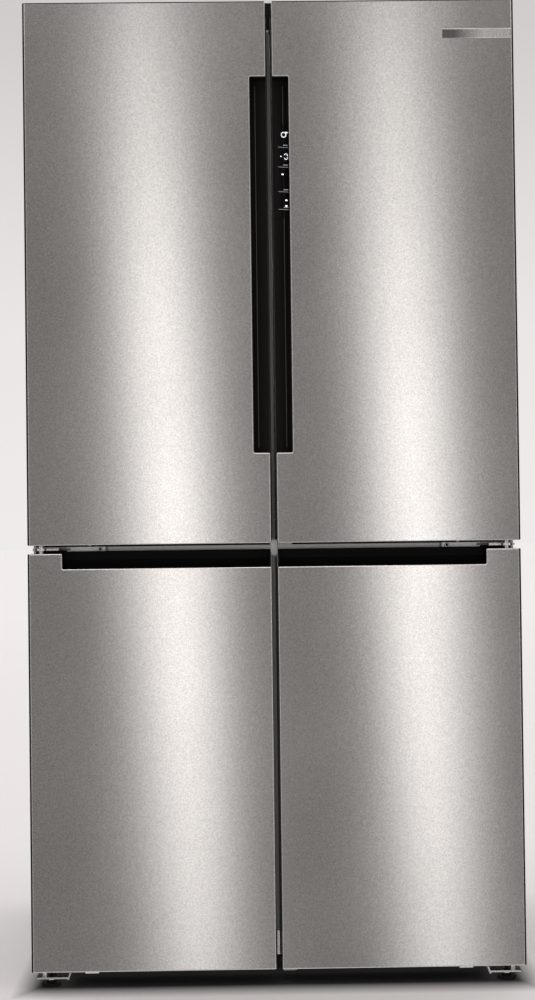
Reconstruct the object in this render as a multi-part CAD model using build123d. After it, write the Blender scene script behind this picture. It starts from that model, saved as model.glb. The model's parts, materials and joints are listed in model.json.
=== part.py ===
from build123d import *
import math
import os

# Four-door french door refrigerator, free standing: two refrigerator doors above, two freezer doors below.
#
# Units are millimetres. +Z is up, +X is to the right of someone who faces the doors, and -Y is towards them.
# The origin is on the floor, under the middle of the whole refrigerator.
#
# How it comes apart: four doors turn on pins at their outer edges. The left refrigerator door carries a
# mullion, a slim upright beam that closes the gap between the upper doors and folds away as that door opens.
# Every door is a folded steel skin, a foamed core with its white inner liner, plastic end caps, a black grip
# and a magnetic gasket. The cabinet is a painted sheet shell, foam, white liners, a front frame, a base pan
# with a machine room at the back for the compressor, condenser and fan, and an evaporator with its own fan
# behind the left freezer compartment. It stands on two screw feet in front and two rollers at the back.

# ---- driving dimensions ----
WIDTH = 905.0
DEPTH = 731.0
HEIGHT = 1830.0
DOOR_GAP = 11.0
LOWER_BOTTOM = 30.0
LOWER_TOP = 794.0
TIER_GAP = 15.0
UPPER_TOP = 1808.0
DOOR_THICK = 64.0
SEAL_DEPTH = 11.0
SEAL_CLEAR = 1.0
BADGE_PROUD = 1.0
WALL_SPACER = 9.5

# ---- sheet and wall thicknesses ----
SKIN = 1.0
SHEET = 1.2
LINER = 2.0
PLATE = 3.0
CLEAR = 0.2
PAST = 1.0  # how far a cutting tool runs past the face that it opens

# ---- planes worked out from them ----
UPPER_BOTTOM = LOWER_TOP + TIER_GAP
DOOR_INNER = DOOR_GAP / 2
DOOR_OUTER = WIDTH / 2
FRONT = -DEPTH / 2 + BADGE_PROUD
DOOR_BACK = FRONT + DOOR_THICK
CABINET_FRONT = DOOR_BACK + SEAL_DEPTH + SEAL_CLEAR
CABINET_BACK = DEPTH / 2 - WALL_SPACER
CABINET_HALF = DOOR_OUTER - 1.5
CABINET_BOTTOM = 42.0
CABINET_TOP = UPPER_TOP + 1.0

# ---- door hinges ----
AXIS_X = DOOR_OUTER - 20.2
AXIS_Y = FRONT + 38.0
PIN_R = 5.0
BORE_R = PIN_R + 0.05
ARM_THICK = 4.0
ARM_NOSE = 12.0

HINGE_PLATE = 2.8
ARM_Z = 799.5
LOW_ARM_Z = (14.0, 17.0)
LOW_FLANGE_TOP = 27.0
PLATE_INNER = DOOR_OUTER - 136.5
SCREW_PLACES = ((PLATE_INNER + 9.5, 800.0), (PLATE_INNER + 30.0, 790.0), (PLATE_INNER + 30.0, 810.5))
SCREW_R = 2.5
SCREW_BORE = 2.6
SCREW_HEAD_R = 4.6

# ---- door seals ----
GASKET_WIDE = 10.0
GASKET_INSET = 10.2

# ---- compartments: clear space inside the liners ----
CAVITY_HALF = 406.0
FLANGE_HALF = 415.0
FRIDGE_FLOOR = 845.0
FRIDGE_CEILING = 1772.0
CAVITY_REAR = 300.0
FREEZER_FLOOR = 104.0
FREEZER_CEILING = 757.0
POST_HALF = 34.0
STEP_Y = 105.0
STEP_Z = 310.0
MACHINE_FRONT = 150.0
MACHINE_TOP = 263.4
PAN_Z = 61.8

# ---- shelves, bins and drawers ----
SHELF_TOPS = (1053.0, 1290.0, 1530.0)
SHELF_THICK = 5.0
SHELF_FRONT = -135.0
SHELF_BACK = 283.0
LEDGE_WIDE = 12.0
LEDGE_THICK = 6.0
BIN_FLOORS = (878.0, 1170.0, 1462.0)
BIN_HEIGHTS = (150.0, 100.0, 100.0)
BIN_REACH = 104.0
BIN_WALL = 2.5
DYKE_INNER = 48.0
DYKE_OUTER = 392.0
DYKE_WALL = 14.0
UPPER_DYKE = 45.0
LOWER_DYKE = 25.0
DRAWER_WALL = 3.0
CRISPER_FRONT = -141.0
CRISPER_BACK = 180.0
CRISPER_Z = (851.0, 1040.0)
DRAWER_FRONT = -228.0
DRAWER_BACK = 226.0
LOW_DRAWER_BACK = 92.0
DRAWER_FLOORS = {"bottom": 122.0, "middle": 338.0, "top": 552.0}
DRAWER_HEIGHT = 196.0

# ---- grips ----
GRIP_BOTTOM = 975.0
GRIP_TOP = 1669.0
GRIP_WIDE = 30.0
LOWER_GRIP_DROP = 28.4
LOWER_GRIP_INSET = 63.5
GRIP_DEEP = 33.0
GRIP_UNDERCUT = 13.5
GRIP_SKIN = 2.2
GRIP_RISE = 4.0  # how far the back of the freezer door's grip stands above the door
FOLD = 8.0  # depth of the skin's folded edge at the top, bottom and grip
SIDE_FOLD = 50.0
NOTCH_DEEP = GRIP_DEEP + GRIP_SKIN + CLEAR
EDGE_R = 2.2
CORNER_R = 2.6
CAP_DEEP = 12.0
STOP_WIDE = 25.0
STOP_TALL = 4.6

# ---- mullion on the left door ----
MULLION_X = (-34.0, 0.8)
MULLION_Y = (CABINET_FRONT + 0.3, CABINET_FRONT + 24.5)
MULLION_Z = (851.0, 1767.0)
MULLION_AXIS = (-30.0, CABINET_FRONT + 11.5)
MULLION_ARM_Z = (930.0, 1690.0)
MULLION_PIN_R = 3.0

# ---- feet, rollers, base plate, top cover, fans ----
FOOT_X = 420.0
FOOT_Y = -334.0
FOOT_R = 17.0
FOOT_DISC = 6.0
ROLLER_X = 399.5
ROLLER_Y = 300.0
ROLLER_R = 17.0
EAR_X = (ROLLER_X - 11.5, ROLLER_X + 8.5)
BASE_PLATE_Z = (46.0, 48.5)
COVER_BACK = -170.0
COVER_WALL = 2.5
COOL_FAN = (-38.0, 258.0, 140.0)
COOL_FAN_R = 58.0
COLD_FAN = (-221.0, 270.0, 405.0)
COLD_FAN_R = 50.0


# ---- helpers ----
def block(x, y, z):
    """A box between two limits on each axis."""
    corner = Pos(min(x), min(y), min(z))
    size = (abs(x[1] - x[0]), abs(y[1] - y[0]), abs(z[1] - z[0]))
    return corner * Box(*size, align=(Align.MIN, Align.MIN, Align.MIN))


def upright(x, y, z, radius):
    """A vertical cylinder between two heights."""
    return Pos(x, y, z[0]) * Cylinder(radius, z[1] - z[0], align=(Align.CENTER, Align.CENTER, Align.MIN))


def along_y(x, y, z, radius):
    """A cylinder along Y between two depths."""
    turned = Rot(-90, 0, 0) * Cylinder(radius, y[1] - y[0], align=(Align.CENTER, Align.CENTER, Align.MIN))
    return Pos(x, y[0], z) * turned


def along_x(x, y, z, radius):
    """A cylinder along X between two limits."""
    turned = Rot(0, 90, 0) * Cylinder(radius, x[1] - x[0], align=(Align.CENTER, Align.CENTER, Align.MIN))
    return Pos(x[0], y, z) * turned


def left(shape):
    """The mirror image of a right-hand piece."""
    return mirror(shape, about=Plane.YZ)


def sym(half):
    """Limits of a span centred on the middle plane."""
    return (-half, half)


def level_outline(points, z):
    """An outline of (x, depth behind the door face) points, extruded upwards between two heights."""
    face = Pos(0, 0, z[0]) * make_face(Polyline([(x, FRONT + d) for x, d in points], close=True))
    return extrude(face, z[1] - z[0], dir=(0, 0, 1))


def side_outline(points, x):
    """An outline of (depth behind the door face, z) points, extruded along X between two limits."""
    face = make_face(Polyline([Vector(x[0], FRONT + d, z) for d, z in points], close=True))
    return extrude(face, x[1] - x[0], dir=(1, 0, 0))


# ---- doors, made for the right-hand side ----
def door_outline(z, notch):
    """A solid plate with the outline of a door, with its grip notch cut out and its corners rounded."""
    plate = block((DOOR_INNER, DOOR_OUTER), (FRONT, FRONT + SIDE_FOLD), z)
    plate -= block(notch[0], (FRONT - PAST, FRONT + NOTCH_DEEP), notch[1])
    corners = [edge for edge in plate.edges().filter_by(Axis.Y) if abs(edge.center().Y - FRONT) < SIDE_FOLD]
    return fillet(corners, CORNER_R)


def rounded_front(plate, radius):
    """Rounds every edge of the plate's front face."""
    face = plate.faces().sort_by(Axis.Y)[0]
    return fillet(face.edges(), radius)


def door_skin(z, notch):
    """The folded steel skin: a pan with deep sides and short folds at the top, bottom and grip."""
    pan = rounded_front(door_outline(z, notch), EDGE_R)
    inner_z = (z[0] + SKIN, z[1] - SKIN)
    inner = block((DOOR_INNER + SKIN, DOOR_OUTER - SKIN), (FRONT + SKIN, FRONT + SIDE_FOLD + PAST), inner_z)
    inner = fillet(inner.edges().filter_by(Axis.Y), CORNER_R - SKIN)
    (nx0, nx1), (nz0, nz1) = notch
    keep = block((nx0 - PAST, nx1 + SKIN), (FRONT, FRONT + NOTCH_DEEP), (nz0 - SKIN, nz1 + SKIN))
    pan -= inner - keep
    deep = (FRONT + FOLD, FRONT + SIDE_FOLD + PAST)
    behind_notch = (FRONT + FOLD, FRONT + NOTCH_DEEP)
    trims = [
        block((DOOR_INNER + SKIN, DOOR_OUTER - SKIN), deep, (z[0] - PAST, z[0] + CORNER_R)),
        block((DOOR_INNER + SKIN, DOOR_OUTER - SKIN), deep, (z[1] - CORNER_R, z[1] + PAST)),
        block((nx0 - PAST, nx1 + SKIN + CLEAR), behind_notch, (nz0 - SKIN - CLEAR, nz1 + SKIN + CLEAR)),
    ]
    for trim in trims:
        pan -= trim
    return pan


def upper_notch():
    """Limits in x and z of the cut-out for the upright grip."""
    return ((DOOR_INNER - PAST, DOOR_INNER + GRIP_WIDE), (GRIP_BOTTOM, GRIP_TOP))


def lower_notch():
    """Limits in x and z of the cut-out for the freezer door's grip."""
    x = (DOOR_INNER - PAST, DOOR_OUTER - LOWER_GRIP_INSET)
    return (x, (LOWER_TOP - LOWER_GRIP_DROP, LOWER_TOP + PAST))


def hand_space(opening, lift):
    """The (across, depth) outline of a grip's hollow: open in front, hooked behind the folded edge."""
    edge = opening - 0.1
    hook = opening + GRIP_UNDERCUT
    return [
        (lift, -PAST),
        (edge, -PAST),
        (edge, 10.0),
        (edge + 8.0, 11.5),
        (hook, 17.0),
        (hook, 24.0),
        (hook - 7.0, GRIP_DEEP),
        (edge - 2.0, GRIP_DEEP),
        (lift, GRIP_DEEP - 9.0),
    ]


def grip_body(opening, lift):
    """The outer (across, depth) outline of the grip moulding round that hollow."""
    hook = opening + GRIP_UNDERCUT + GRIP_SKIN
    edge = opening + SKIN + 0.2
    return [
        (lift, 1.2),
        (opening - 0.4, 1.2),
        (opening - 0.4, FOLD + CLEAR),
        (edge + 8.0, FOLD + CLEAR),
        (hook, 15.5),
        (hook, 25.0),
        (hook - 8.0, GRIP_DEEP + GRIP_SKIN),
        (opening - 2.5, GRIP_DEEP + GRIP_SKIN),
        (lift, GRIP_DEEP - 9.0 + GRIP_SKIN),
    ]


def upper_grip():
    """The upright black channel at the door's inner edge, closed at its top and bottom."""
    edge = DOOR_INNER + GRIP_WIDE
    body_z = (GRIP_BOTTOM - GRIP_SKIN - SKIN, GRIP_TOP + GRIP_SKIN + SKIN)
    body = level_outline(grip_body(edge, DOOR_INNER + CLEAR), body_z)
    body -= level_outline(hand_space(edge, DOOR_INNER - PAST), (GRIP_BOTTOM + 0.1, GRIP_TOP - 0.1))
    for z in ((GRIP_TOP, GRIP_TOP + 20), (GRIP_BOTTOM - 20, GRIP_BOTTOM)):
        body -= block((0, edge + 30), (FRONT, FRONT + FOLD + CLEAR), (z[0] - CLEAR, z[1] + CLEAR))
    for z in ((GRIP_TOP + SKIN, GRIP_TOP + 20), (GRIP_BOTTOM - 20, GRIP_BOTTOM - SKIN)):
        body -= block((0, DOOR_INNER + SKIN + CLEAR), (FRONT, FRONT + SIDE_FOLD), z)
    return body


def upper_grip_room():
    """The space that the upright grip takes in the core."""
    x = (DOOR_INNER - PAST, DOOR_INNER + GRIP_WIDE + GRIP_UNDERCUT + GRIP_SKIN + CLEAR)
    y = (FRONT - PAST, FRONT + NOTCH_DEEP)
    return block(x, y, (GRIP_BOTTOM - GRIP_SKIN - SKIN - CLEAR, GRIP_TOP + GRIP_SKIN + SKIN + CLEAR))


def hinge_bore(z, radius=BORE_R):
    """The tool for the bore of a door's hinge pin."""
    return upright(AXIS_X, AXIS_Y, z, radius)


def plain_cap(z):
    """A flat plastic end cap with its hinge bore."""
    x = (DOOR_INNER + SKIN + CLEAR, DOOR_OUTER - SKIN - CLEAR)
    cap = block(x, (FRONT + FOLD + CLEAR, DOOR_BACK - CLEAR), z)
    return cap - hinge_bore((z[0] - PAST, z[1] + PAST))


def upper_caps():
    """The top and bottom end caps of a refrigerator door."""
    top = plain_cap((UPPER_TOP - CAP_DEEP, UPPER_TOP - 0.4))
    bottom = plain_cap((UPPER_BOTTOM + 0.4, UPPER_BOTTOM + CAP_DEEP))
    return [top, bottom]


def lower_grip():
    """The level black channel in the top of a freezer door, made in one with the top end cap."""
    end = lower_notch()[0][1]
    start = DOOR_INNER + SKIN + CLEAR
    body_points = [(depth, LOWER_TOP - drop) for drop, depth in grip_body(LOWER_GRIP_DROP, 0.0)]
    hollow = hand_space(LOWER_GRIP_DROP, -GRIP_RISE - PAST)
    hollow_points = [(depth, LOWER_TOP - drop) for drop, depth in hollow]
    body = side_outline(body_points, (start, end + GRIP_SKIN + SKIN))
    body -= side_outline(hollow_points, (start + 3.0, end - 0.6))
    fold_z = (LOWER_TOP - 60, LOWER_TOP + PAST)
    body -= block((end - CLEAR, end + 30), (FRONT, FRONT + FOLD + CLEAR), fold_z)
    body -= block((0, end + 30), (FRONT - PAST, FRONT + SKIN + CLEAR), fold_z)
    fence_y = FRONT + GRIP_DEEP - 9.0
    cap_z = (LOWER_TOP - CAP_DEEP, LOWER_TOP - 0.4)
    outer = DOOR_OUTER - SKIN - CLEAR
    fence = block((start, end), (fence_y, fence_y + 2 * GRIP_SKIN), (cap_z[0], LOWER_TOP + GRIP_RISE))
    deck = block((start, outer), (fence_y + GRIP_SKIN, DOOR_BACK - CLEAR), cap_z)
    shoulder = block((end + SKIN + CLEAR, outer), (FRONT + FOLD + CLEAR, DOOR_BACK - CLEAR), cap_z)
    cap = body + fence + deck + shoulder
    return cap - hinge_bore((LOWER_TOP - CAP_DEEP - PAST, LOWER_TOP + PAST))


def lower_grip_room():
    """The space that the grip cap takes in a freezer door's core."""
    end = lower_notch()[0][1]
    low = LOWER_TOP - LOWER_GRIP_DROP - GRIP_UNDERCUT - GRIP_SKIN - CLEAR
    channel_x = (0, end + GRIP_SKIN + SKIN + CLEAR)
    channel = block(channel_x, (FRONT - PAST, FRONT + NOTCH_DEEP), (low, LOWER_TOP + 20))
    top_z = (LOWER_TOP - CAP_DEEP - CLEAR, LOWER_TOP + 20)
    return channel + block((0, DOOR_OUTER + PAST), (FRONT - PAST, DOOR_BACK + PAST), top_z)


def lower_caps():
    """The grip cap on top of a freezer door and the plain cap below it."""
    return [lower_grip(), plain_cap((LOWER_BOTTOM + 0.4, LOWER_BOTTOM + CAP_DEEP))]


def stop_tab(x, door_bottom):
    """A small steel tab under a door, which meets the hinge's stop or keeps the door off its neighbour."""
    tab = block(x, (FRONT + FOLD + 1, FRONT + FOLD + 25), (door_bottom + 0.4 - STOP_TALL, door_bottom + 0.4))
    return chamfer(tab.edges().filter_by(Axis.Y).sort_by(Axis.Z)[:2], 1.0)


def outer_stop():
    """The tab near the hinge of a freezer door."""
    return stop_tab((DOOR_OUTER - 97 - STOP_WIDE, DOOR_OUTER - 97), LOWER_BOTTOM)


def inner_stops():
    """The two tabs at the inner corners of the right doors."""
    x = (DOOR_INNER + 1.5, DOOR_INNER + 1.5 + STOP_WIDE)
    return {"upper": stop_tab(x, UPPER_BOTTOM), "lower": stop_tab(x, LOWER_BOTTOM)}


def dyke(z, depth):
    """The raised ring on the inside of a door, which the bins clip into."""
    y = (DOOR_BACK - PAST, DOOR_BACK + depth)
    ring = block((DYKE_INNER, DYKE_OUTER), y, z)
    inner_z = (z[0] + DYKE_WALL, z[1] - DYKE_WALL)
    return ring - block((DYKE_INNER + DYKE_WALL, DYKE_OUTER - DYKE_WALL), (y[0], y[1] + PAST), inner_z)


def door_core(z, dyke_z, dyke_depth, rooms):
    """The foamed core with its white inner liner, less the rooms that other pieces take."""
    step = FRONT + SIDE_FOLD + CLEAR
    inner_z = (z[0] + SKIN + CLEAR, z[1] - SKIN - CLEAR)
    inner_x = (DOOR_INNER + SKIN + CLEAR, DOOR_OUTER - SKIN - CLEAR)
    inside = block(inner_x, (FRONT + SKIN + CLEAR, DOOR_BACK), inner_z)
    rim = block((DOOR_INNER + 0.4, DOOR_OUTER - 0.4), (step, DOOR_BACK), inner_z)
    core = inside + rim + dyke(dyke_z, dyke_depth)
    for room in rooms:
        core -= room
    return core


def bin_ledges():
    """Small ledges on the dyke's sides that the door bins sit on."""
    ledges = []
    for floor in BIN_FLOORS:
        z = (floor - LEDGE_THICK - 0.3, floor - 0.3)
        y = (DOOR_BACK - PAST, DOOR_BACK + UPPER_DYKE)
        inner = DYKE_INNER + DYKE_WALL
        outer = DYKE_OUTER - DYKE_WALL
        ledges.append(block((inner - PAST, inner + 8), y, z))
        ledges.append(block((outer - 8, outer + PAST), y, z))
    return ledges


def upper_core():
    """The core of a refrigerator door."""
    cap_top = UPPER_TOP - CAP_DEEP - CLEAR
    cap_bottom = UPPER_BOTTOM + CAP_DEEP + CLEAR
    full = (FRONT - PAST, DOOR_BACK + PAST)
    rooms = [
        upper_grip_room(),
        block((0, DOOR_OUTER + PAST), full, (cap_top, UPPER_TOP + PAST)),
        block((0, DOOR_OUTER + PAST), full, (UPPER_BOTTOM - PAST, cap_bottom)),
        hinge_bore((cap_top - 12, cap_top + PAST), PIN_R + 1),
        hinge_bore((cap_bottom - PAST, cap_bottom + 10), PIN_R + 1),
    ]
    dyke_z = (FRIDGE_FLOOR + 17, FRIDGE_CEILING - 17)
    core = door_core((UPPER_BOTTOM, UPPER_TOP), dyke_z, UPPER_DYKE, rooms)
    for ledge in bin_ledges():
        core += ledge
    return core


def lower_core():
    """The core of a freezer door."""
    cap_bottom = LOWER_BOTTOM + CAP_DEEP + CLEAR
    cap_top = LOWER_TOP - CAP_DEEP - CLEAR
    rooms = [
        lower_grip_room(),
        block((0, DOOR_OUTER + PAST), (FRONT - PAST, DOOR_BACK + PAST), (LOWER_BOTTOM - PAST, cap_bottom)),
        hinge_bore((cap_top - 10, cap_top + PAST), PIN_R + 1),
        hinge_bore((cap_bottom - PAST, cap_bottom + 12), PIN_R + 1),
    ]
    return door_core((LOWER_BOTTOM, LOWER_TOP), (FREEZER_FLOOR + 14, FREEZER_CEILING - 12), LOWER_DYKE, rooms)


def gasket(z):
    """The magnetic seal: a frame round the back of a door."""
    outer_x = (DOOR_INNER + GASKET_INSET, DOOR_OUTER - GASKET_INSET)
    outer_z = (z[0] + GASKET_INSET + 2, z[1] - GASKET_INSET - 2)
    y = (DOOR_BACK, DOOR_BACK + SEAL_DEPTH)
    inner_x = (outer_x[0] + GASKET_WIDE, outer_x[1] - GASKET_WIDE)
    inner_z = (outer_z[0] + GASKET_WIDE, outer_z[1] - GASKET_WIDE)
    ring = block(outer_x, y, outer_z) - block(inner_x, (y[0] - PAST, y[1] + PAST), inner_z)
    return fillet(ring.faces().sort_by(Axis.Y)[-1].edges(), 2.5)


def door_bin(floor, height):
    """One clear door bin, open at the top, with a lower rear wall."""
    x = (DYKE_INNER + DYKE_WALL + 0.6, DYKE_OUTER - DYKE_WALL - 0.6)
    y = (DOOR_BACK + 1.0, DOOR_BACK + BIN_REACH)
    shell = block(x, y, (floor, floor + height))
    shell = fillet(shell.edges().filter_by(Axis.Z).sort_by(Axis.Y)[-2:], 14)
    hollow = block((x[0] + BIN_WALL, x[1] - BIN_WALL), (y[0] + BIN_WALL, y[1] - BIN_WALL),
                   (floor + BIN_WALL, floor + height + PAST))
    hollow = fillet(hollow.edges().filter_by(Axis.Z).sort_by(Axis.Y)[-2:], 14 - BIN_WALL)
    back_cut = block(x, (y[0] - PAST, y[0] + BIN_WALL + 0.01), (floor + 0.55 * height, floor + height + PAST))
    return shell - hollow - back_cut


def door_bins():
    """The three bins of a refrigerator door."""
    return [door_bin(floor, height) for floor, height in zip(BIN_FLOORS, BIN_HEIGHTS)]


def display_panel():
    """The touch display: a thin glossy strip on the sloping floor of the right grip."""
    run = GRIP_WIDE - 2.0 + PAST
    slope = math.degrees(math.atan2(9.0, run))
    strip = Box(22.0, 1.0, 172.0, align=(Align.MIN, Align.MAX, Align.MIN))
    start_x = DOOR_INNER + 5.0
    floor_depth = GRIP_DEEP - 9.0 + (5.0 + PAST) * 9.0 / run
    return Pos(start_x, FRONT + floor_depth - 0.1, 1414.0) * Rot(0, 0, slope) * strip


def badge():
    """A plain trim bar near the top outer corner of the right door."""
    x = (DOOR_OUTER - 131.0, DOOR_OUTER - EDGE_R - 0.3)
    bar = block(x, (FRONT - BADGE_PROUD, FRONT), (1736.8, 1753.2))
    return chamfer(bar.faces().sort_by(Axis.Y)[0].edges(), 0.6)


# ---- mullion ----
def mullion():
    """The folding beam: a closed box with slots for its two hinge arms and a pin across each slot."""
    beam = block(MULLION_X, MULLION_Y, MULLION_Z)
    beam = fillet(beam.edges().filter_by(Axis.Z), 1.5)
    for z in MULLION_ARM_Z:
        beam -= block((MULLION_X[0] - PAST, -12), (MULLION_Y[0] - PAST, MULLION_Y[1] + PAST), (z - 4, z + 4))
        beam += upright(MULLION_AXIS[0], MULLION_AXIS[1], (z - 5, z + 5), MULLION_PIN_R)
    return beam


def mullion_arm(z):
    """One steel arm from the left door's back to the mullion's pin."""
    ax, ay = MULLION_AXIS
    bar = block((ax - 9, ax - 2), (DOOR_BACK, ay), (z - 3, z + 3))
    eye = upright(ax, ay, (z - 3, z + 3), 5.0)
    web = block((ax - 9, ax), (ay - 5, ay + 2), (z - 3, z + 3))
    foot = block((ax - 16, ax - 1.5), (DOOR_BACK, DOOR_BACK + 2.0), (z - 14, z + 14))
    arm = bar + web + eye + foot
    return arm - upright(ax, ay, (z - 5, z + 5), MULLION_PIN_R + 0.05)


# ---- cabinet ----
def cabinet_shell():
    """The painted sheet that wraps the sides and top, folded in round the front."""
    outer = block(sym(CABINET_HALF), (CABINET_FRONT, CABINET_BACK), (CABINET_BOTTOM, CABINET_TOP))
    outer = fillet(outer.edges().filter_by(Axis.Y).sort_by(Axis.Z)[-2:], 3.0)
    inside = block(sym(CABINET_HALF - SHEET), (CABINET_FRONT + SHEET, CABINET_BACK + PAST),
                   (CABINET_BOTTOM - PAST, CABINET_TOP - SHEET))
    inside = fillet(inside.edges().filter_by(Axis.Y).sort_by(Axis.Z)[-2:], 1.8)
    mouth = block(sym(FLANGE_HALF), (CABINET_FRONT - PAST, CABINET_FRONT + 2 * SHEET),
                  (CABINET_BOTTOM - PAST, FRIDGE_CEILING + 3))
    return outer - inside - mouth


def fridge_void(grow):
    """The refrigerator compartment, grown outwards at the walls and floor."""
    return block(sym(CAVITY_HALF + grow), (CABINET_FRONT - PAST, CAVITY_REAR + grow),
                 (FRIDGE_FLOOR - grow, FRIDGE_CEILING + grow))


def freezer_void(grow):
    """The right freezer compartment with its raised rear floor, grown outwards."""
    x = (POST_HALF + LINER - grow, CAVITY_HALF + grow)
    low = block(x, (CABINET_FRONT - PAST, STEP_Y + grow), (FREEZER_FLOOR - grow, FREEZER_CEILING + grow))
    high = block(x, (STEP_Y - PAST, CAVITY_REAR + grow), (STEP_Z - grow, FREEZER_CEILING + grow))
    return low + high


def cabinet_foam():
    """The insulation between the shell and the liners."""
    foam = block(sym(CABINET_HALF - SHEET - CLEAR), (CABINET_FRONT + PLATE + CLEAR, CABINET_BACK - 2 * SHEET),
                 (PAN_Z + CLEAR, CABINET_TOP - SHEET - CLEAR))
    foam = fillet(foam.edges().filter_by(Axis.Y).sort_by(Axis.Z)[-2:], 1.8)
    foam -= block(sym(CABINET_HALF), (MACHINE_FRONT, CABINET_BACK + PAST), (0, MACHINE_TOP))
    foam -= fridge_void(LINER + CLEAR)
    right_room = freezer_void(LINER + CLEAR)
    return foam - right_room - left(right_room)


def ledge_pair(x, y, top):
    """Two side ledges whose upper faces are at the given height."""
    z = (top - LEDGE_THICK, top)
    return [
        block((x[1] - LEDGE_WIDE, x[1] + PAST), y, z),
        block((x[0] - PAST, x[0] + LEDGE_WIDE), y, z),
    ]


def fridge_liner():
    """The white upper compartment, with a front lip, shelf ledges and a divider between the crispers."""
    start = (CABINET_FRONT, CABINET_FRONT + SHEET)
    tub = fridge_void(LINER) - block(sym(500), (CABINET_FRONT - 2 * PAST, CABINET_FRONT), (0, HEIGHT))
    lip = block(sym(FLANGE_HALF - CLEAR), start, (FRIDGE_FLOOR, FRIDGE_CEILING + 2.8))
    tub = tub + lip - fridge_void(0)
    ledge_y = (SHELF_FRONT, CAVITY_REAR + PAST)
    for top in SHELF_TOPS:
        for ledge in ledge_pair(sym(CAVITY_HALF), ledge_y, top - SHELF_THICK - CLEAR):
            tub += ledge
    tub += block(sym(4.0), (CRISPER_FRONT + 10, CRISPER_BACK), (FRIDGE_FLOOR - PAST, FRIDGE_FLOOR + 24))
    return tub


def freezer_liner():
    """The right white lower compartment, with a front lip and drawer ledges."""
    tub = freezer_void(LINER) - block(sym(500), (CABINET_FRONT - 2 * PAST, CABINET_FRONT), (0, HEIGHT))
    lip = block((POST_HALF + CLEAR, FLANGE_HALF - CLEAR), (CABINET_FRONT, CABINET_FRONT + SHEET),
                (FREEZER_FLOOR - LINER + CLEAR, FREEZER_CEILING + LINER - CLEAR))
    tub = tub + lip - freezer_void(0)
    x = (POST_HALF + LINER, CAVITY_HALF)
    for name, floor in DRAWER_FLOORS.items():
        back = LOW_DRAWER_BACK if name == "bottom" else DRAWER_BACK
        for ledge in ledge_pair(x, (DRAWER_FRONT + 20, back), floor - 0.5):
            tub += ledge
    return tub


def front_frame():
    """The frame between the compartments: crossbar, upright post and bottom rail."""
    y = (CABINET_FRONT, CABINET_FRONT + PLATE)
    bar = block(sym(FLANGE_HALF - CLEAR), y, (FREEZER_CEILING + LINER, FRIDGE_FLOOR - LINER))
    post = block(sym(POST_HALF), y, (FREEZER_FLOOR - LINER - PAST, FREEZER_CEILING + LINER + PAST))
    rail = block(sym(FLANGE_HALF - CLEAR), y, (PAN_Z + CLEAR, FREEZER_FLOOR - LINER))
    frame = bar + post + rail
    for x, z in SCREW_PLACES:
        for side in (-1, 1):
            frame -= along_y(side * x, (y[0] - PAST, y[1] + PAST), z, SCREW_BORE)
    return frame


def rear_panel():
    """The flat back sheet with two wall spacers."""
    y = (CABINET_BACK - 2 * SHEET + CLEAR, CABINET_BACK - SHEET + CLEAR)
    panel = block(sym(CABINET_HALF - SHEET - CLEAR), y, (MACHINE_TOP + 3, CABINET_TOP - SHEET - CLEAR))
    panel = fillet(panel.edges().filter_by(Axis.Y).sort_by(Axis.Z)[-2:], 1.8)
    for x in (-330.0, 330.0):
        spacer = block((x - 25, x + 25), (y[0], DEPTH / 2), (1660, 1750))
        panel += fillet(spacer.edges().filter_by(Axis.Y), 8)
    return panel


def base_pan():
    """The bent bottom sheet, and the plate under the machine room with its roller ears."""
    x = sym(CABINET_HALF - SHEET - CLEAR)
    bend = MACHINE_FRONT + CLEAR
    roof_z = (MACHINE_TOP - CLEAR - SHEET, MACHINE_TOP - CLEAR)
    sheet = block(x, (CABINET_FRONT + PLATE + CLEAR, bend + SHEET), (PAN_Z - SHEET, PAN_Z))
    sheet += block(x, (bend, bend + SHEET), (PAN_Z - SHEET, roof_z[1]))
    sheet += block(x, (bend, CABINET_BACK - 2 * SHEET), roof_z)
    plate = block(x, (MACHINE_FRONT + 6, CABINET_BACK - 8), BASE_PLATE_Z)
    plate += block(x, (MACHINE_FRONT + 6, MACHINE_FRONT + 8.5), (BASE_PLATE_Z[0], 66))
    plate += block(x, (CABINET_BACK - 10.5, CABINET_BACK - 8), (BASE_PLATE_Z[0] - 8, BASE_PLATE_Z[1]))
    for inner_x in EAR_X:
        ear = block((inner_x, inner_x + 3), (ROLLER_Y - 14, ROLLER_Y + 14), (9, BASE_PLATE_Z[0] + PAST))
        ear -= along_x((inner_x - PAST, inner_x + 3 + PAST), ROLLER_Y, ROLLER_R, 4.05)
        plate += ear + left(ear)
    return [sheet, plate]


def kickplate():
    """The black grille under the doors, set back behind them."""
    panel = block(sym(378), (CABINET_FRONT + 8, CABINET_FRONT + 11), (10, PAN_Z - SHEET - CLEAR))
    slots = 24
    pitch = 30.0
    for i in range(slots):
        x = (i - (slots - 1) / 2) * pitch
        panel -= block((x - 11, x + 11), (CABINET_FRONT, CABINET_FRONT + 20), (24, 29))
        panel -= block((x - 11, x + 11), (CABINET_FRONT, CABINET_FRONT + 20), (36, 41))
    return panel


def top_cover():
    """The grey cover along the front of the top, over the hinges and the control board."""
    z = (CABINET_TOP + CLEAR, HEIGHT)
    cover = block(sym(CABINET_HALF - 1), (CABINET_FRONT, COVER_BACK), z)
    cover = fillet(cover.faces().sort_by(Axis.Z)[-1].edges(), 3.0)
    cover -= block(sym(CABINET_HALF - 1 - COVER_WALL), (CABINET_FRONT + COVER_WALL, COVER_BACK - COVER_WALL),
                   (z[0] - PAST, z[1] - COVER_WALL))
    gate_y = (CABINET_FRONT - PAST, CABINET_FRONT + 5)
    gate = block((AXIS_X - 40, AXIS_X + 17), gate_y, (z[0] - PAST, z[0] + 6))
    return cover - gate - left(gate)


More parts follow.
